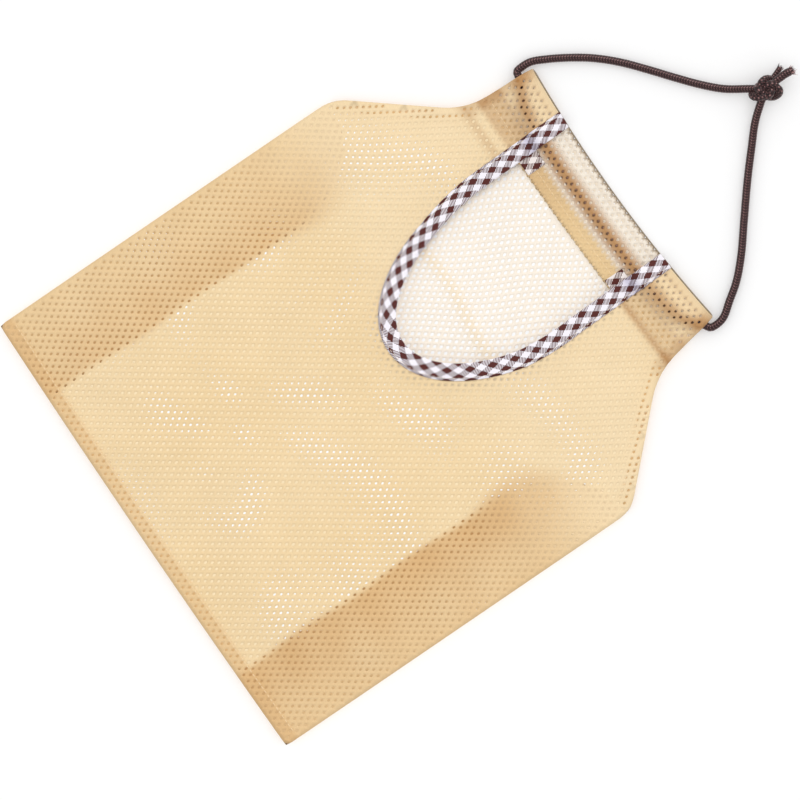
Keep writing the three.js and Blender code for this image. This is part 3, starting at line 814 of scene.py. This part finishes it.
def back_tone(colours):
    """The back panel: near white in the opening; under the body painted brighter than the front, as light that
    comes through the front's mesh; painted shade at the sides and along the crease in the opening.
    """
    def tone(x, y):
        seen = smooth((inside_opening(x, y) + 6) / 6)
        base = blend_tone(colours.mesh_under, colours.mesh_bare, seen)
        # Painted shade along the back panel's crease, where it is seen in the opening.
        crease = bell(from_crease(x, y) / 4) * seen
        base = blend_tone(base, colours.mesh_front_pale, crease * 0.5)
        # Painted shade under the folded-in sides.
        under_side = np.clip(side_shade_share(x, y) * 1.1, 0, 1)
        return blend_tone(base, colours.mesh_shade, under_side)
    return tone


def even_tone(colour, seed, amount=0.04):
    """One colour, a little cloudy."""
    def tone(x, y):
        return np.asarray(colour)[None] * (1 + amount * ripple(x, y, 40, seed))[:, None]
    return tone


# ---- What the sidebar offers ----
def length(title, text, millimetres):
    return FloatProperty(name=title, description=text, default=millimetres * MM, min=0, unit="LENGTH")


def colour(title, text, *screen):
    return FloatVectorProperty(name=title, description=text, default=linear(*screen), size=3, min=0, max=1,
                               subtype="COLOR")


class MeshBagSizes(bpy.types.PropertyGroup):
    """Sizes and colours of the bag's cloth, tape, thread and cord."""

    pitch_x: length("Mesh pitch across", "Distance between holes across the bag", 4.8)
    pitch_y: length("Mesh pitch along", "Distance between holes up the bag", 6.76)
    hole_x: length("Hole width", "Width of one hole of the mesh", 1.8)
    hole_y: length("Hole height", "Height of one hole of the mesh", 2.8)
    cloth: length("Cloth", "Thickness of one layer of mesh", 0.6)
    braid_pitch: length("Braid pitch", "Length of one V of the cord's braid", 1.75)
    check_along: length("Check along", "Half the check's repeat along the tape", 7.3)
    check_across: length("Check across", "Half the check's repeat across the tape", 4.4)
    mesh_front: colour("Front", "Mesh over one more layer", 240, 211, 163)
    mesh_front_pale: colour("Front, pale", "Mesh where it lies loosely", 245, 221, 181)
    # Painted shade: the mesh over the folded-in sides, also used for the seam allowances and their rolled edges.
    mesh_deep_shade: colour("Sides", "Mesh over the folded-in sides", 222, 181, 128)
    # Painted shade: the neck's cloth in its folds and over the cord, whose brown shows through.
    mesh_neck_shade: colour("Channel", "Mesh of the neck where it lies in folds", 186, 140, 92)
    # Painted light: the back panel under the front, coloured as lit through the front's mesh, brighter than the
    # front.
    mesh_under: colour("Back, under the front", "Mesh seen through the front's holes", 250, 228, 188)
    mesh_bare: colour("Back, in the opening", "A single layer of mesh", 252, 241, 226)
    # Painted shade: cloth in shadow between the layers, seen through the holes.
    mesh_shade: colour("Between the layers", "Mesh seen through the holes of the sides", 190, 144, 92)
    mesh_leaf: colour("Channel, inside", "The channel's inner side in the opening", 254, 247, 233)
    mesh_band: colour("Band", "The double hem below the cord", 234, 202, 152)
    # Painted shadow: a grey-brown line along the neck's folded top edge.
    mesh_rim_shadow: colour("Neck edge", "The folded edge at the top of the neck", 150, 134, 112)
    tape_light: colour("Check, light", "White of the checked tape", 250, 246, 253)
    tape_dark: colour("Check, dark", "Brown of the checked tape", 88, 40, 36)
    thread: colour("Thread", "Sewing thread", 236, 222, 204)
    # Painted shade between the cord's strands, darker than the strands' own brown.
    cord_dark: colour("Cord, dark", "Cord between its strands", 14, 6, 7)
    cord_mid: colour("Cord, strands", "Strands of the cord", 60, 28, 30)
    # Painted highlight on the strands' crests.
    cord_painted_highlight: colour("Cord, gloss", "Gloss on the strands", 182, 136, 134)


def sizes_of(context):
    return context.scene.mesh_bag


class Step:
    """What the operators share."""

    bl_options = {"REGISTER", "UNDO"}

    def execute(self, context):
        self.make(sizes_of(context))
        return {"FINISHED"}

    def cut(self, piece, node, flat, outline, held="folded", rests_on=(), lets_light_in=False):
        """Sets a cloth piece's body in place of its solid, and lets light through it as an open mesh does."""
        sewn(piece, "mesh", node)
        piece.visible_diffuse = not lets_light_in


class BAG_OT_stage(Step, bpy.types.Operator):
    """Makes the camera straight above the bag, the floor and the lights."""

    bl_idname = "mesh_bag.stage"
    bl_label = "Stage"

    def make(self, sizes):
        scene = bpy.context.scene
        right, up = Vector((0.563, 0.826, 0)).normalized(), Vector((-0.826, 0.563, 0)).normalized()
        data = bpy.data.cameras.new("camera")
        data.sensor_width = 36
        data.lens = data.sensor_width * CAMERA_DISTANCE / SEEN_WIDTH
        data.clip_end = 20
        camera = bpy.data.objects.new("camera", data)
        scene.collection.objects.link(camera)
        turn = Matrix((right, up, right.cross(up))).transposed()
        place = Vector(SEEN_MIDDLE) + Vector((0, 0, CAMERA_DISTANCE))
        camera.matrix_world = Matrix.Translation(place) @ turn.to_4x4()
        scene.camera = camera

        mesh = bpy.data.meshes.new("floor")
        corners = [(x * FLOOR_HALF, y * FLOOR_HALF, FLOOR_LOW) for x, y in ((-1, -1), (1, -1), (1, 1), (-1, 1))]
        mesh.from_pydata(corners, [], [(0, 1, 2, 3)])
        material, tree, shader = new_material("floor_paint", 0.9)
        place = add(tree, "ShaderNodeTexCoord").outputs["Object"]
        cloud = add(tree, "ShaderNodeTexNoise", {"Vector": place, "Scale": 2.0}).outputs["Fac"]
        pale = mixed(tree, cloud, (0.985, 0.985, 0.985, 1), (0.995, 0.995, 0.995, 1))
        tree.links.new(pale, shader.inputs["Base Color"])
        mesh.materials.append(material)
        floor = bpy.data.objects.new("floor", mesh)
        scene.collection.objects.link(floor)

        world = bpy.data.worlds.new("studio")
        world.use_nodes = True
        sky = world.node_tree.nodes["Background"]
        sky.inputs["Color"].default_value = (1, 1, 1, 1)
        sky.inputs["Strength"].default_value = SKY_LIGHT
        scene.world = world
        sun = bpy.data.lights.new("soft_window", "SUN")
        sun.energy = WINDOW_LIGHT
        sun.angle = 0.5
        lamp = bpy.data.objects.new("soft_window", sun)
        lamp.matrix_world = Vector((-0.45, 0.75, 1.15)).to_track_quat("Z", "Y").to_matrix().to_4x4()
        scene.collection.objects.link(lamp)
        scene.view_settings.view_transform = "Standard"


class BAG_OT_cord(Step, bpy.types.Operator):
    """Makes the braided cord: its run in the channel, both legs of the loop, the knot and the two ends."""

    bl_idname = "mesh_bag.cord"
    bl_label = "Cord loop"

    def finished(self, name, node, made, material):
        """A piece of cord from points, quads and colours."""
        place, faces, tint = made
        piece = new_mesh(name, place, faces, material, tint=tint)
        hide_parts(node)
        piece.visible_shadow = False
        return piece

    def braided(self, name, node, points, sizes, material, **more):
        line = curve_through(points, BRAID_STEP)
        piece = self.finished(name, node, braid(line, CORD_RADIUS, sizes, **more), material)
        return piece, (line - (0, SHIFT, 0)) * MM

    def knot(self, sizes, material):
        """Two closed strands on three-lobed knot curves, one inside the other, fill the knot's egg shape."""
        turn = np.array([[math.cos(KNOT_TURN), -math.sin(KNOT_TURN), 0],
                         [math.sin(KNOT_TURN), math.cos(KNOT_TURN), 0], [0, 0, 1]])
        room = np.array(KNOT_HALF) * (1.06, 1.04, 1.0) - CORD_RADIUS
        parts = []
        for scale, spin, lift, phase in ((1.0, 0.25, 0.0, 0.0), (0.66, 1.35, 0.25, 0.4)):
            t = np.linspace(0, 2 * math.pi, 240, endpoint=False)
            x, y = np.sin(t) + 2 * np.sin(2 * t), np.cos(t) - 2 * np.cos(2 * t)
            c, s = math.cos(spin), math.sin(spin)
            local = np.stack([(c * x - s * y) / 2.95 * scale * room[0], (s * x + c * y) / 2.95 * scale * room[1],
                              (-np.sin(3 * t) * 0.62 + lift) * room[2]], 1)
            out = local * (1, 1, 0.6) + (0, 0, 4.0)
            line = local @ turn.T + KNOT_CENTRE
            parts.append(braid(line, CORD_RADIUS, sizes, reference=out @ turn.T, closed=True, start_phase=phase,
                               around=20))
        place, faces, tint = joined(parts)
        # The knot's colours are darkened a little: painted shade where its strands crowd.
        return self.finished("loop_knot", "cord_knot", (place, faces, tint * 0.92), material)

    def tail(self, name, node, points, sizes, material, radius, count, length, seed):
        """An end of the cord: a short braid that flares into loose fibres."""
        line = curve_through(points, BRAID_STEP)
        body = braid(line, radius, sizes, around=20, taper=(0.96, 1.1))
        draw = np.random.default_rng(seed)
        way = unit(line[-1] - line[-4])
        spot = draw.normal(size=(count, 3))
        spot = unit(spot - (spot @ way)[:, None] * way) * radius * np.sqrt(draw.uniform(0.05, 1, (count, 1)))
        starts = line[-1] + spot * 0.92 - way * draw.uniform(0.8, 2.0, (count, 1))
        ways = unit(way + spot / radius * 0.42 + draw.normal(0, 0.12, (count, 3)))
        # Some loose fibres take the painted highlight colour, some the painted groove shade.
        shades = [sizes.cord_mid, sizes.cord_dark, sizes.cord_mid, sizes.cord_painted_highlight]
        loose = strands(starts, ways, length, 0.28, 0.35, [np.array(c) for c in shades], seed)
        place, faces, tint = joined([body, loose])
        place[:, 2] = np.maximum(place[:, 2], 0.2)
        return self.finished(name, node, (place, faces, tint), material)

    def make(self, sizes):
        material = tinted_material("braided_cord", 0.42, 0.15, 1500.0)
        # The run in the channel is veiled toward the mesh's painted shade colour.
        run, _ = self.braided("cord_in_channel", "cord_channel_run", CORD_RUN[1:-1], sizes, material, veil=0.22)
        left = self.braided("loop_left_leg", "cord_leg_left", [*CORD_RUN[1::-1], *LEFT_LEG, LEG_ENDS[0]],
                            sizes, material)
        right = self.braided("loop_right_leg", "cord_leg_right", [*CORD_RUN[-2:], *RIGHT_LEG, LEG_ENDS[1]],
                             sizes, material)
        knot = self.knot(sizes, material)
        long_end = self.tail("long_end", "cord_tail_long", LONG_TAIL, sizes, material, 2.5, 130, 2.6, 5)
        short_end = self.tail("short_end", "cord_tail_short", SHORT_TAIL, sizes, material, 1.7, 50, 2.4, 9)
        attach(run, "bag")
        for piece in (knot, long_end, short_end):
            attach(piece, "cord_loop")
        for (leg, line), route, pieces in ((left, LEFT_LEG, (knot, long_end, short_end)), (right, RIGHT_LEG, ())):
            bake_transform(leg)


class BAG_OT_panels(Step, bpy.types.Operator):
    """Makes the back panel, and the front panel with its opening cut out."""

    bl_idname = "mesh_bag.panels"
    bl_label = "Panels"

    def make(self, sizes):
        thick = sizes.cloth / MM
        edge = bag_outline()
        low = edge[edge[:, 1] < BAND_BOTTOM]
        split = half_width(BAND_BOTTOM)
        at = int(np.argmax((low[:, 0] < 0) & (low[:, 1] > SHOULDER_HEIGHT)))
        back = np.insert(low, at, [(split, BAND_BOTTOM), (-split, BAND_BOTTOM)], axis=0)

        def surface(x, y):
            """The back panel settles with slow sideways drift of its mesh, none along its edges."""
            free = smooth((half_width(y) - np.abs(x)) / 60) * smooth(y / 60) * smooth((BAND_BOTTOM - y) / 50)
            return level_sheet(back_height)(x + 3.4 * free * ripple(x, y, 150, 91),
                                            y + 3.0 * free * ripple(x, y, 140, 92))

        def hole(points):
            """The holes pull open where only the back panel lies."""
            return 0.78 + 0.22 * smooth((inside_opening(*points.T) + 8) / 8)

        piece = cloth("back_mesh", knit(back, sizes, 0.035, (1.1, 0.8), 2, hole), surface, back_tone(sizes), thick)
        self.cut(piece, "back_panel", (2 * HALF * MM, BAND_BOTTOM * MM), back, "laid", lets_light_in=True)

        notch = opening(-TAPE_HALF + 1.2)
        top = BAG_HEIGHT - 0.8
        edge[:, 1] = np.minimum(edge[:, 1], top)
        notch[:, 1] = np.minimum(notch[:, 1], top)
        at = int(np.argmax((edge[:, 1] >= top - 0.01) & (edge[:, 0] < 0)))
        front = np.concatenate([edge[:at], notch[::-1], edge[at:]])
        piece = cloth("front_mesh", knit(front, sizes, 0.0, (0.0, 0.4), 3, 0.82), level_sheet(front_height),
                      front_tone(sizes), thick)
        self.cut(piece, "front_panel", (2 * HALF * MM, BAG_HEIGHT * MM), front, "laid",
                 ["gusset_left", "gusset_right", "bottom_seam_allowance", "back_channel"], lets_light_in=True)


class BAG_OT_gussets(Step, bpy.types.Operator):
    """Makes the two folded-in sides, and the rolled edges where they join the panels."""

    bl_idname = "mesh_bag.gussets"
    bl_label = "Folded sides"

    def make(self, sizes):
        heights = np.concatenate([np.linspace(0, GUSSET_STRAIGHT, 12), np.linspace(GUSSET_STRAIGHT, 252, 26)[1:]])
        reach = gusset_depth(heights) - 0.6
        outline = mirrored(reach, heights)
        for name, side in SIDES:

            def surface(s, y, side=side):
                depth = gusset_depth(y)
                share = np.clip(np.abs(s) / np.maximum(depth, 0.5), 0, 1)
                x = side * (HALF - 0.5 - np.maximum(depth - np.sqrt(s**2 + 0.36), 0))
                low = 1.35
                high = front_height(np.full_like(y, side * (HALF - 0.5)), y) - 1.0
                fold = (low + high) / 2
                roll = 0.42 * np.tanh(s / 0.7)
                leaf = np.where(s > 0, high - fold - 0.42, low - fold + 0.42) * share**1.3
                return laid(x, y, fold + roll + leaf)

            # Painted shade between the folded side's layers: deepest at the fold, paler higher up.
            def tone(s, y):
                depth = gusset_depth(y)
                share = np.clip(np.abs(s) / np.maximum(depth, 0.5), 0, 1)
                deep = np.clip(1.0 - 0.5 * share + 0.1 * ripple(s, y, 40, 31), 0, 1)
                leaf = blend_tone(sizes.mesh_front, sizes.mesh_shade, deep)
                return blend_tone(leaf, sizes.mesh_front_pale, smooth((y - 170) / 65) * 0.8)

            piece = cloth("side_fold_" + name, knit(outline, sizes, side * 0.015, (0.6 * side, 1.2), 4), surface,
                          tone, sizes.cloth / MM)
            self.cut(piece, "gusset_" + name, (2 * GUSSET_DEPTH * MM, GUSSET_END * MM), outline,
                     rests_on=["back_panel"], lets_light_in=True)

            y = np.linspace(1.5, GUSSET_END, 120)
            x = np.full_like(y, side * (HALF - 0.75))
            for part, z in (("front", front_height(x, y) - 0.45), ("back", 0.86)):
                rim_roll(f"edge_{part}_{name}", laid(x, y, z), 0.55, 0.75, sizes.mesh_front)


class BAG_OT_seams(Step, bpy.types.Operator):
    """Makes the seam allowances inside the bottom edge and the shoulders, and the seams' rolled edges."""

    bl_idname = "mesh_bag.seams"
    bl_label = "Seams"

    def make(self, sizes):
        reach = HALF - GUSSET_DEPTH - 1
        strip, span = profile_sheet([SEAM_ALLOWANCE, 0.9, 0.5, 0.9, SEAM_ALLOWANCE],
                                    [1.35, 1.35, 1.85, 2.35, 2.35], np.zeros(5))
        far = span[-1]
        outline = np.array([(-reach, 0), (reach, 0), (reach, far), (-reach, far)], float)
        # The bottom seam allowance is coloured in the painted shade of the sides, as it lies between the layers.
        piece = cloth("bottom_seam_cloth", knit(outline, sizes, 0.0, (0.3, 0.2), 5), strip,
                      even_tone(sizes.mesh_deep_shade, 41), sizes.cloth / MM)
        self.cut(piece, "bottom_seam_allowance", (2 * reach * MM, far * MM), outline, rests_on=["back_panel"])

        low, high = GUSSET_END + 2, BAND_BOTTOM - 1
        for name, side in SIDES:
            ends = []
            for inset in (0.9, SHOULDER_ALLOWANCE):
                edge = bag_outline(inset)
                points = edge[(edge[:, 0] * side > 0) & (edge[:, 1] > low - 1) & (edge[:, 1] < high)]
                points = points[np.argsort(points[:, 1])]
                foot, head = half_width(low) - inset, half_width(high) - inset
                ends.append(np.concatenate([[(side * foot, low)], points, [(side * head, high)]]))
            outline = np.concatenate([ends[0], ends[1][::-1]])

            def height(x, y):
                return 0.5 * (front_height(x, y) + BACK_MID) + 0.1

            # The shoulder seam allowances take the same painted shade.
            piece = cloth("shoulder_seam_cloth_" + name, knit(outline, sizes, 0.1 * side, (0.2, 0.5), 6),
                          level_sheet(height), even_tone(sizes.mesh_deep_shade, 43), 1.1)
            tall = float(distances(ends[0])[-1]) * MM
            self.cut(piece, "shoulder_seam_" + name, (NARROWEST_SHEET, tall), outline, rests_on=["back_panel"])

            y = np.concatenate([np.linspace(GUSSET_END, 318, 40), np.linspace(320, 352, 16)])
            rounding = 1.6 * bell((y - SHOULDER_HEIGHT) / 4) - 1.7 * bell((y - NECK_BASE_HEIGHT) / 6)
            x = side * (half_width(y) - 0.7 - rounding)
            top = front_height(x, y)
            close = smooth((354 - y) / 10)
            # The shoulder's rolled edge is coloured in painted shade.
            rim_roll("shoulder_edge_" + name, laid(x, y, (top + BACK_MID) / 2), 0.5 + 0.1 * close,
                     ((top - BACK_MID) / 2 + 0.3) * np.maximum(close, 0.15), sizes.mesh_deep_shade)

        x = np.linspace(-HALF + 1.2, HALF - 1.2, 160)
        # The bottom's rolled edge is coloured in painted shade.
        rim_roll("bottom_edge", laid(x, np.full_like(x, 0.7), 2.05), 0.6, 1.9, sizes.mesh_deep_shade)


class BAG_OT_channel(Step, bpy.types.Operator):
    """Makes the channel at the neck: the back's turned-down hem, and the front's on each side of the opening."""

    bl_idname = "mesh_bag.channel"
    bl_label = "Channel"

    def make(self, sizes):
        thick = sizes.cloth / MM
        top = BAG_HEIGHT - 0.5
        turn = np.linspace(-math.pi / 2, math.pi / 2, 7)
        fold_y, fold_z = np.cos(turn), np.sin(turn)
        rise = (LEAF_MID - BACK_MID) / 2
        band = LEAF_MID + BAND_LIFT
        ys = np.concatenate([[BAND_BOTTOM], top - rise + rise * fold_y, [BAND_TOP + 1, BAND_TOP - 2],
                             BAND_BOTTOM + 0.5 - 0.5 * fold_y, [BAND_TOP - 1.5]])
        zs = np.concatenate([[BACK_MID], LEAF_MID - rise + rise * fold_z, [LEAF_MID, band],
                             band - 0.5 - 0.5 * fold_z, [band - 1.0]])
        lifts = np.concatenate([[0], (fold_z + 1) / 2, [1, 1], np.ones(7), [1]])
        strip, span = profile_sheet(ys, zs, lifts)
        outer, far = BAG_HEIGHT - BAND_BOTTOM, span[-1]
        marks = np.array([0, outer, 2 * outer, far])
        widths = half_width(np.array([BAND_BOTTOM, BAG_HEIGHT, BAND_BOTTOM, BAND_TOP])) - 0.6
        outline = mirrored(widths, marks)

        # Painted shade on the channel: over the cord, under the top edge, more on the left of the band, and at the
        # top fold; where the front covers it, the front's colour with painted shade over the cord.
        def tone(x, s):
            y = np.interp(s, span, ys)
            seen = smooth((inside_opening(x, y) + 3) / 3)
            rise = cord_rise(x, y)
            top_shade = 0.28 * bell((y - 366.5) / 2.5)
            inner = blend_tone(sizes.mesh_leaf, sizes.mesh_neck_shade, np.clip(1.05 * rise**1.1 + top_shade, 0, 1))
            on_band = smooth((BAND_TOP - 1 - y) / 2)
            inner = blend_tone(inner, sizes.mesh_band, on_band * (1 - rise**2))
            left = smooth(0.5 - (x + 20) / 60)
            inner = blend_tone(inner, sizes.mesh_neck_shade, on_band * 0.3 * left)
            hidden = blend_tone(sizes.mesh_front, sizes.mesh_shade, np.clip(rise, 0, 1) * 0.7)
            inner = blend_tone(hidden, inner, seen)
            outside = blend_tone(sizes.mesh_bare, sizes.mesh_front, np.full_like(y, 0.3))
            fold = bell((s - outer) / 1.3)
            colour = np.where((s > outer)[:, None], inner, outside)
            return blend_tone(colour, sizes.mesh_shade, fold * 0.55)

        start = (0.0, span[8] + BAND_TOP + 0.6)  # so that the holes of both layers of the hem line up
        piece = cloth("channel_back_cloth", knit(outline, sizes, 0.0, start, 7), strip, tone, thick)
        self.cut(piece, "back_channel", (2 * NECK_BASE_HALF * MM, far * MM), outline, lets_light_in=True)

        x = np.linspace(-NECK_HALF + 1, NECK_HALF - 1, 140)
        covered = smooth((np.abs(x - OPENING_TOP_OFFSET) - OPENING_HALF + TAPE_HALF) / 2)
        lift = 0.5 * LEAF_MID + 0.4 + covered * (NECK_FRONT_MID - 0.5 * LEAF_MID - 0.9) + CORD_LIFT * cord_rise(
            x, np.full_like(x, BAG_HEIGHT))
        # The neck's rolled top edge is coloured grey-brown: a painted shadow line along it.
        rim_roll("neck_edge", laid(x, np.full_like(x, BAG_HEIGHT - 0.2), lift), 0.45, 0.5, sizes.mesh_rim_shadow)

        for name, side in SIDES:
            high = NECK_FRONT_MID
            low = high - LEAF_GAP
            rise = (high - low) / 2
            ys = np.concatenate([[top - 0.5], top - rise + rise * fold_y, [BAND_BOTTOM + 0.3]])
            zs = np.concatenate([[high], low + rise - rise * fold_z, [low]])
            strip, span = profile_sheet(ys, zs, np.ones(len(ys)))
            marks = np.array([0, span[-1]])
            outer_edge = side * (np.array([NECK_HALF, half_width(BAND_BOTTOM)]) - 0.8)
            cut = OPENING_HALF - TAPE_HALF + 2.0
            inner_edge = np.array([OPENING_TOP_OFFSET, OPENING_TOP_OFFSET - 2.2]) + side * cut
            outline = np.stack([np.concatenate([outer_edge, inner_edge[::-1]]),
                                np.concatenate([marks, marks[::-1]])], 1)

            # Painted shade along the top fold, and from the neck's share in the folds and over the cord.
            def tone(x, s):
                y = np.interp(s, span, ys)
                fold = bell(s / 1.6)
                base = blend_tone(sizes.mesh_front_pale, sizes.mesh_neck_shade, neck_shade_share(x, y))
                return blend_tone(base, sizes.mesh_shade, fold * 0.45)

            start = (0.0, span[-1] + BAND_BOTTOM - 0.1)
            piece = cloth("channel_front_cloth_" + name, knit(outline, sizes, 0.0, start, 8), strip, tone, thick)
            wide, tall = np.ptp(outline, axis=0) * MM
            self.cut(piece, "front_channel_" + name, (float(wide), float(tall)), outline,
                     rests_on=["back_channel"])


class BAG_OT_binding(Step, bpy.types.Operator):
    """Makes the checked tape folded round the opening's cut edge, and its two ends turned back inside."""

    bl_idname = "mesh_bag.binding"
    bl_label = "Tape"

    def section(self):
        """Half of the folded tape's section: across from the middle, height off the panel, length along it."""
        bend = np.linspace(-math.pi / 2, math.pi / 2, 9)
        inner = -TAPE_HALF + 0.9
        flat = np.linspace(TAPE_HALF, inner, 10)
        crown = 1 - ((flat - 0.4) / (TAPE_HALF + 0.4)) ** 2
        across = np.concatenate([flat, inner - 0.9 * np.cos(bend[1:-1]), flat[::-1]])
        over = np.concatenate([np.full(10, -1.0), np.sin(bend[1:-1]), np.full(10, 1.0)])
        puff = np.concatenate([0 * crown, np.zeros(7), 0.35 * crown[::-1]])
        return across, over, puff

    def make(self, sizes):
        material = tape_material(sizes)
        whole = opening(0.0, 220, 80)
        path = spaced(whole, 400)
        even = np.linspace(0, distances(whole)[-1], len(path))
        tangent = unit(np.gradient(path, axis=0))
        outward = np.stack([tangent[:, 1], -tangent[:, 0]], 1)
        across, over, puff = self.section()
        centre = path[:, None] + outward[:, None] * across[None, :, None]
        flat = centre.reshape(-1, 2)
        flat[:, 1] = np.minimum(flat[:, 1], BAG_HEIGHT)
        x, y = flat.T
        middle = front_height(*path.T)
        neck = smooth((path[:, 1] - 326) / 8)
        own = front_height(x, y).reshape(centre.shape[:2])
        wrapped = 0.6 * own + 0.4 * middle[:, None]
        gap_up = TAPE_GAP + TAPE_CLOTH / 2
        gap_down = gap_up + LEAF_GAP * neck[:, None]
        uneven = 0.1 * ripple(even[:, None], 3 * across[None], 22, 61)
        z = wrapped + np.where(over > 0, gap_up * over, gap_down * over) + puff + uneven
        shell = laid(x, y, z.ravel()).reshape(*z.shape, 3)
        normal = unit(np.cross(np.gradient(shell, axis=0), np.gradient(shell, axis=1)))
        half = (TAPE_CLOTH / 2 * np.minimum(1, 0.35 + to_end(len(across)) / 2))[None, :, None]
        ring = np.concatenate([shell - normal * half, (shell + normal * half)[:, ::-1]], 1)
        rows, around = ring.shape[:2]
        drift = 1.4 * np.sin(even / 43 + 2.0) + 0.7 * np.sin(even / 19)
        both = np.concatenate([across, across[::-1]])
        v = np.where(np.concatenate([over, over[::-1]]) > 0, both, -2 * TAPE_HALF - both)
        stitched = np.where(v > TAPE_HALF - STITCH_INSET - 0.25, 1.9, 0.0)
        uv = np.stack([np.broadcast_to(even[:, None] / (sizes.check_along / MM), (rows, around)),
                       (v[None] + stitched[None] + drift[:, None]) / (sizes.check_across / MM)], 2)
        # Painted shade: a narrow dark line along the stitch row, where the stitches pull the tape in.
        stitch_groove_shade = 1 - 0.25 * bell((v - (TAPE_HALF - STITCH_INSET)) / 0.35)
        shade = np.ones((rows, around, 3)) * stitch_groove_shade[None, :, None]
        # Painted shade, a little lavender, where the tape steps over the channel's band.
        step_shade = 0.30 * bell((path[:, 1] - 344) / 5.0)[:, None, None]
        shade = shade * (1 - step_shade * np.array([1.0, 1.05, 0.72]))
        piece = new_mesh("checked_tape", ring.reshape(-1, 3), tube_faces(rows, around), material,
                         tint=shade.reshape(-1, 3), uv=uv.reshape(-1, 2))
        sewn(piece, "tape", "opening_binding", shadow=True)

        for name, side in SIDES:
            low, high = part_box("binding_tail_" + name)
            u, w = np.meshgrid(np.linspace(0, 1, 14), np.linspace(0, 1, 16), indexing="ij")
            x = low.x / MM + (high.x - low.x) / MM * u
            y = low.y / MM + SHIFT + 1.0 + TAPE_TURNED * w
            height = leaf_height(x + LEAN * (y - SHOULDER_HEIGHT), y + 3.5) + 0.75 + 0.12 * np.sin(9 * u + 7 * w)
            frayed = 0.35 * np.sin(40 * u) * (w > 0.99)
            top = np.stack([x, y + frayed, height + 0.3], 2)
            base = top - (0, 0, TAIL_CLOTH)
            i = np.arange(u.size).reshape(u.shape)
            quads = np.stack([i[:-1, :-1], i[1:, :-1], i[1:, 1:], i[:-1, 1:]], 2).reshape(-1, 4)
            border = np.concatenate([i[:-1, 0], i[-1, :-1], i[:0:-1, -1], i[0, :0:-1]])
            after = np.roll(border, -1)
            wall = np.stack([border, border + u.size, after + u.size, after], 1)
            faces = np.concatenate([quads, quads[:, ::-1] + u.size, wall])
            place = np.concatenate([top.reshape(-1, 3), base.reshape(-1, 3)])
            uv = np.stack([place[:, 1] / (sizes.check_along / MM), place[:, 0] / (sizes.check_across / MM)], 1)
            tint = np.ones((len(place), 3)) * (0.98, 0.93, 0.84)
            tail = new_mesh("tape_end_" + name, place, faces, material, tint=tint, uv=uv, flat_from=2 * len(quads))
            sewn(tail, "tape", "binding_tail_" + name)


class BAG_OT_stitching(Step, bpy.types.Operator):
    """Makes the rows of stitches: along the tape, the bottom seam and the channel."""

    bl_idname = "mesh_bag.stitching"
    bl_label = "Stitching"

    def row(self, name, node, x, y, height, material, tint):
        line = laid(x, y, height)
        place, faces = stitches(spaced(line, max(8, int(distances(line)[-1]))))
        sewn(new_mesh(name, place, faces, material, tint=tint), "thread", node)

    def make(self, sizes):
        material = tinted_material("sewing_thread", 0.6, 0.1, 2500.0)
        golden = sizes.mesh_front_pale
        path = opening(TAPE_HALF - STITCH_INSET, 200, 60)[1:-1]
        middle = opening(0.0, 200, 60)[1:-1]
        wrapped = 0.6 * front_height(*path.T) + 0.4 * front_height(*middle.T)
        self.row("tape_stitches", "stitch_binding", *path.T, wrapped + TAPE_GAP + TAPE_CLOTH + 0.05, material,
                 sizes.thread)

        x = np.linspace(-HALF + 4, HALF - 4, 300)
        y = np.full_like(x, SEAM_ALLOWANCE - 0.8)
        half = sizes.cloth / MM / 2 + 0.1
        self.row("bottom_stitches", "stitch_bottom", x, y, front_height(x, y) + half, material, golden)
        tape_outer = OPENING_HALF + TAPE_HALF + 1.5
        spans = {
            "left": np.linspace(-NECK_HALF + 1, OPENING_TOP_OFFSET - tape_outer - 1.5, 80),
            "right": np.linspace(OPENING_TOP_OFFSET + tape_outer - 1.2, NECK_HALF - 1, 80),
        }
        for name, x in spans.items():
            y = np.full_like(x, CHANNEL_STITCH)
            self.row("channel_stitches_" + name, "stitch_channel_" + name, x, y, front_height(x, y) + half,
                     material, golden)
        reach = OPENING_HALF - TAPE_HALF / 2 - 11.5
        x = np.linspace(OPENING_TOP_OFFSET - reach, OPENING_TOP_OFFSET + reach, 160)
        y = np.full_like(x, CHANNEL_STITCH)
        self.row("channel_stitches_back", "stitch_channel_back", x, y, leaf_height(x, y) + half, material,
                 golden)


STEPS = (
    BAG_OT_stage, BAG_OT_cord, BAG_OT_panels, BAG_OT_gussets, BAG_OT_seams, BAG_OT_channel, BAG_OT_binding,
    BAG_OT_stitching,
)


class BAG_PT_panel(bpy.types.Panel):
    """Lists the bag's sizes, colours and steps in the sidebar."""

    bl_idname = "BAG_PT_panel"
    bl_label = "Mesh Bag"
    bl_space_type = "VIEW_3D"
    bl_region_type = "UI"
    bl_category = "Mesh Bag"

    def draw(self, context):
        sizes = sizes_of(context)
        for name in MeshBagSizes.__annotations__:
            self.layout.prop(sizes, name)
        for step in STEPS:
            self.layout.operator(step.bl_idname)


CLASSES = (MeshBagSizes, *STEPS, BAG_PT_panel)


def register():
    for cls in CLASSES:
        bpy.utils.register_class(cls)
    bpy.types.Scene.mesh_bag = PointerProperty(type=MeshBagSizes)


def unregister():
    del bpy.types.Scene.mesh_bag
    for cls in reversed(CLASSES):
        bpy.utils.unregister_class(cls)


def main():
    register()
    for step in STEPS:
        group, name = step.bl_idname.split(".")
        getattr(getattr(bpy.ops, group), name)()


if __name__ == "__main__":
    main()
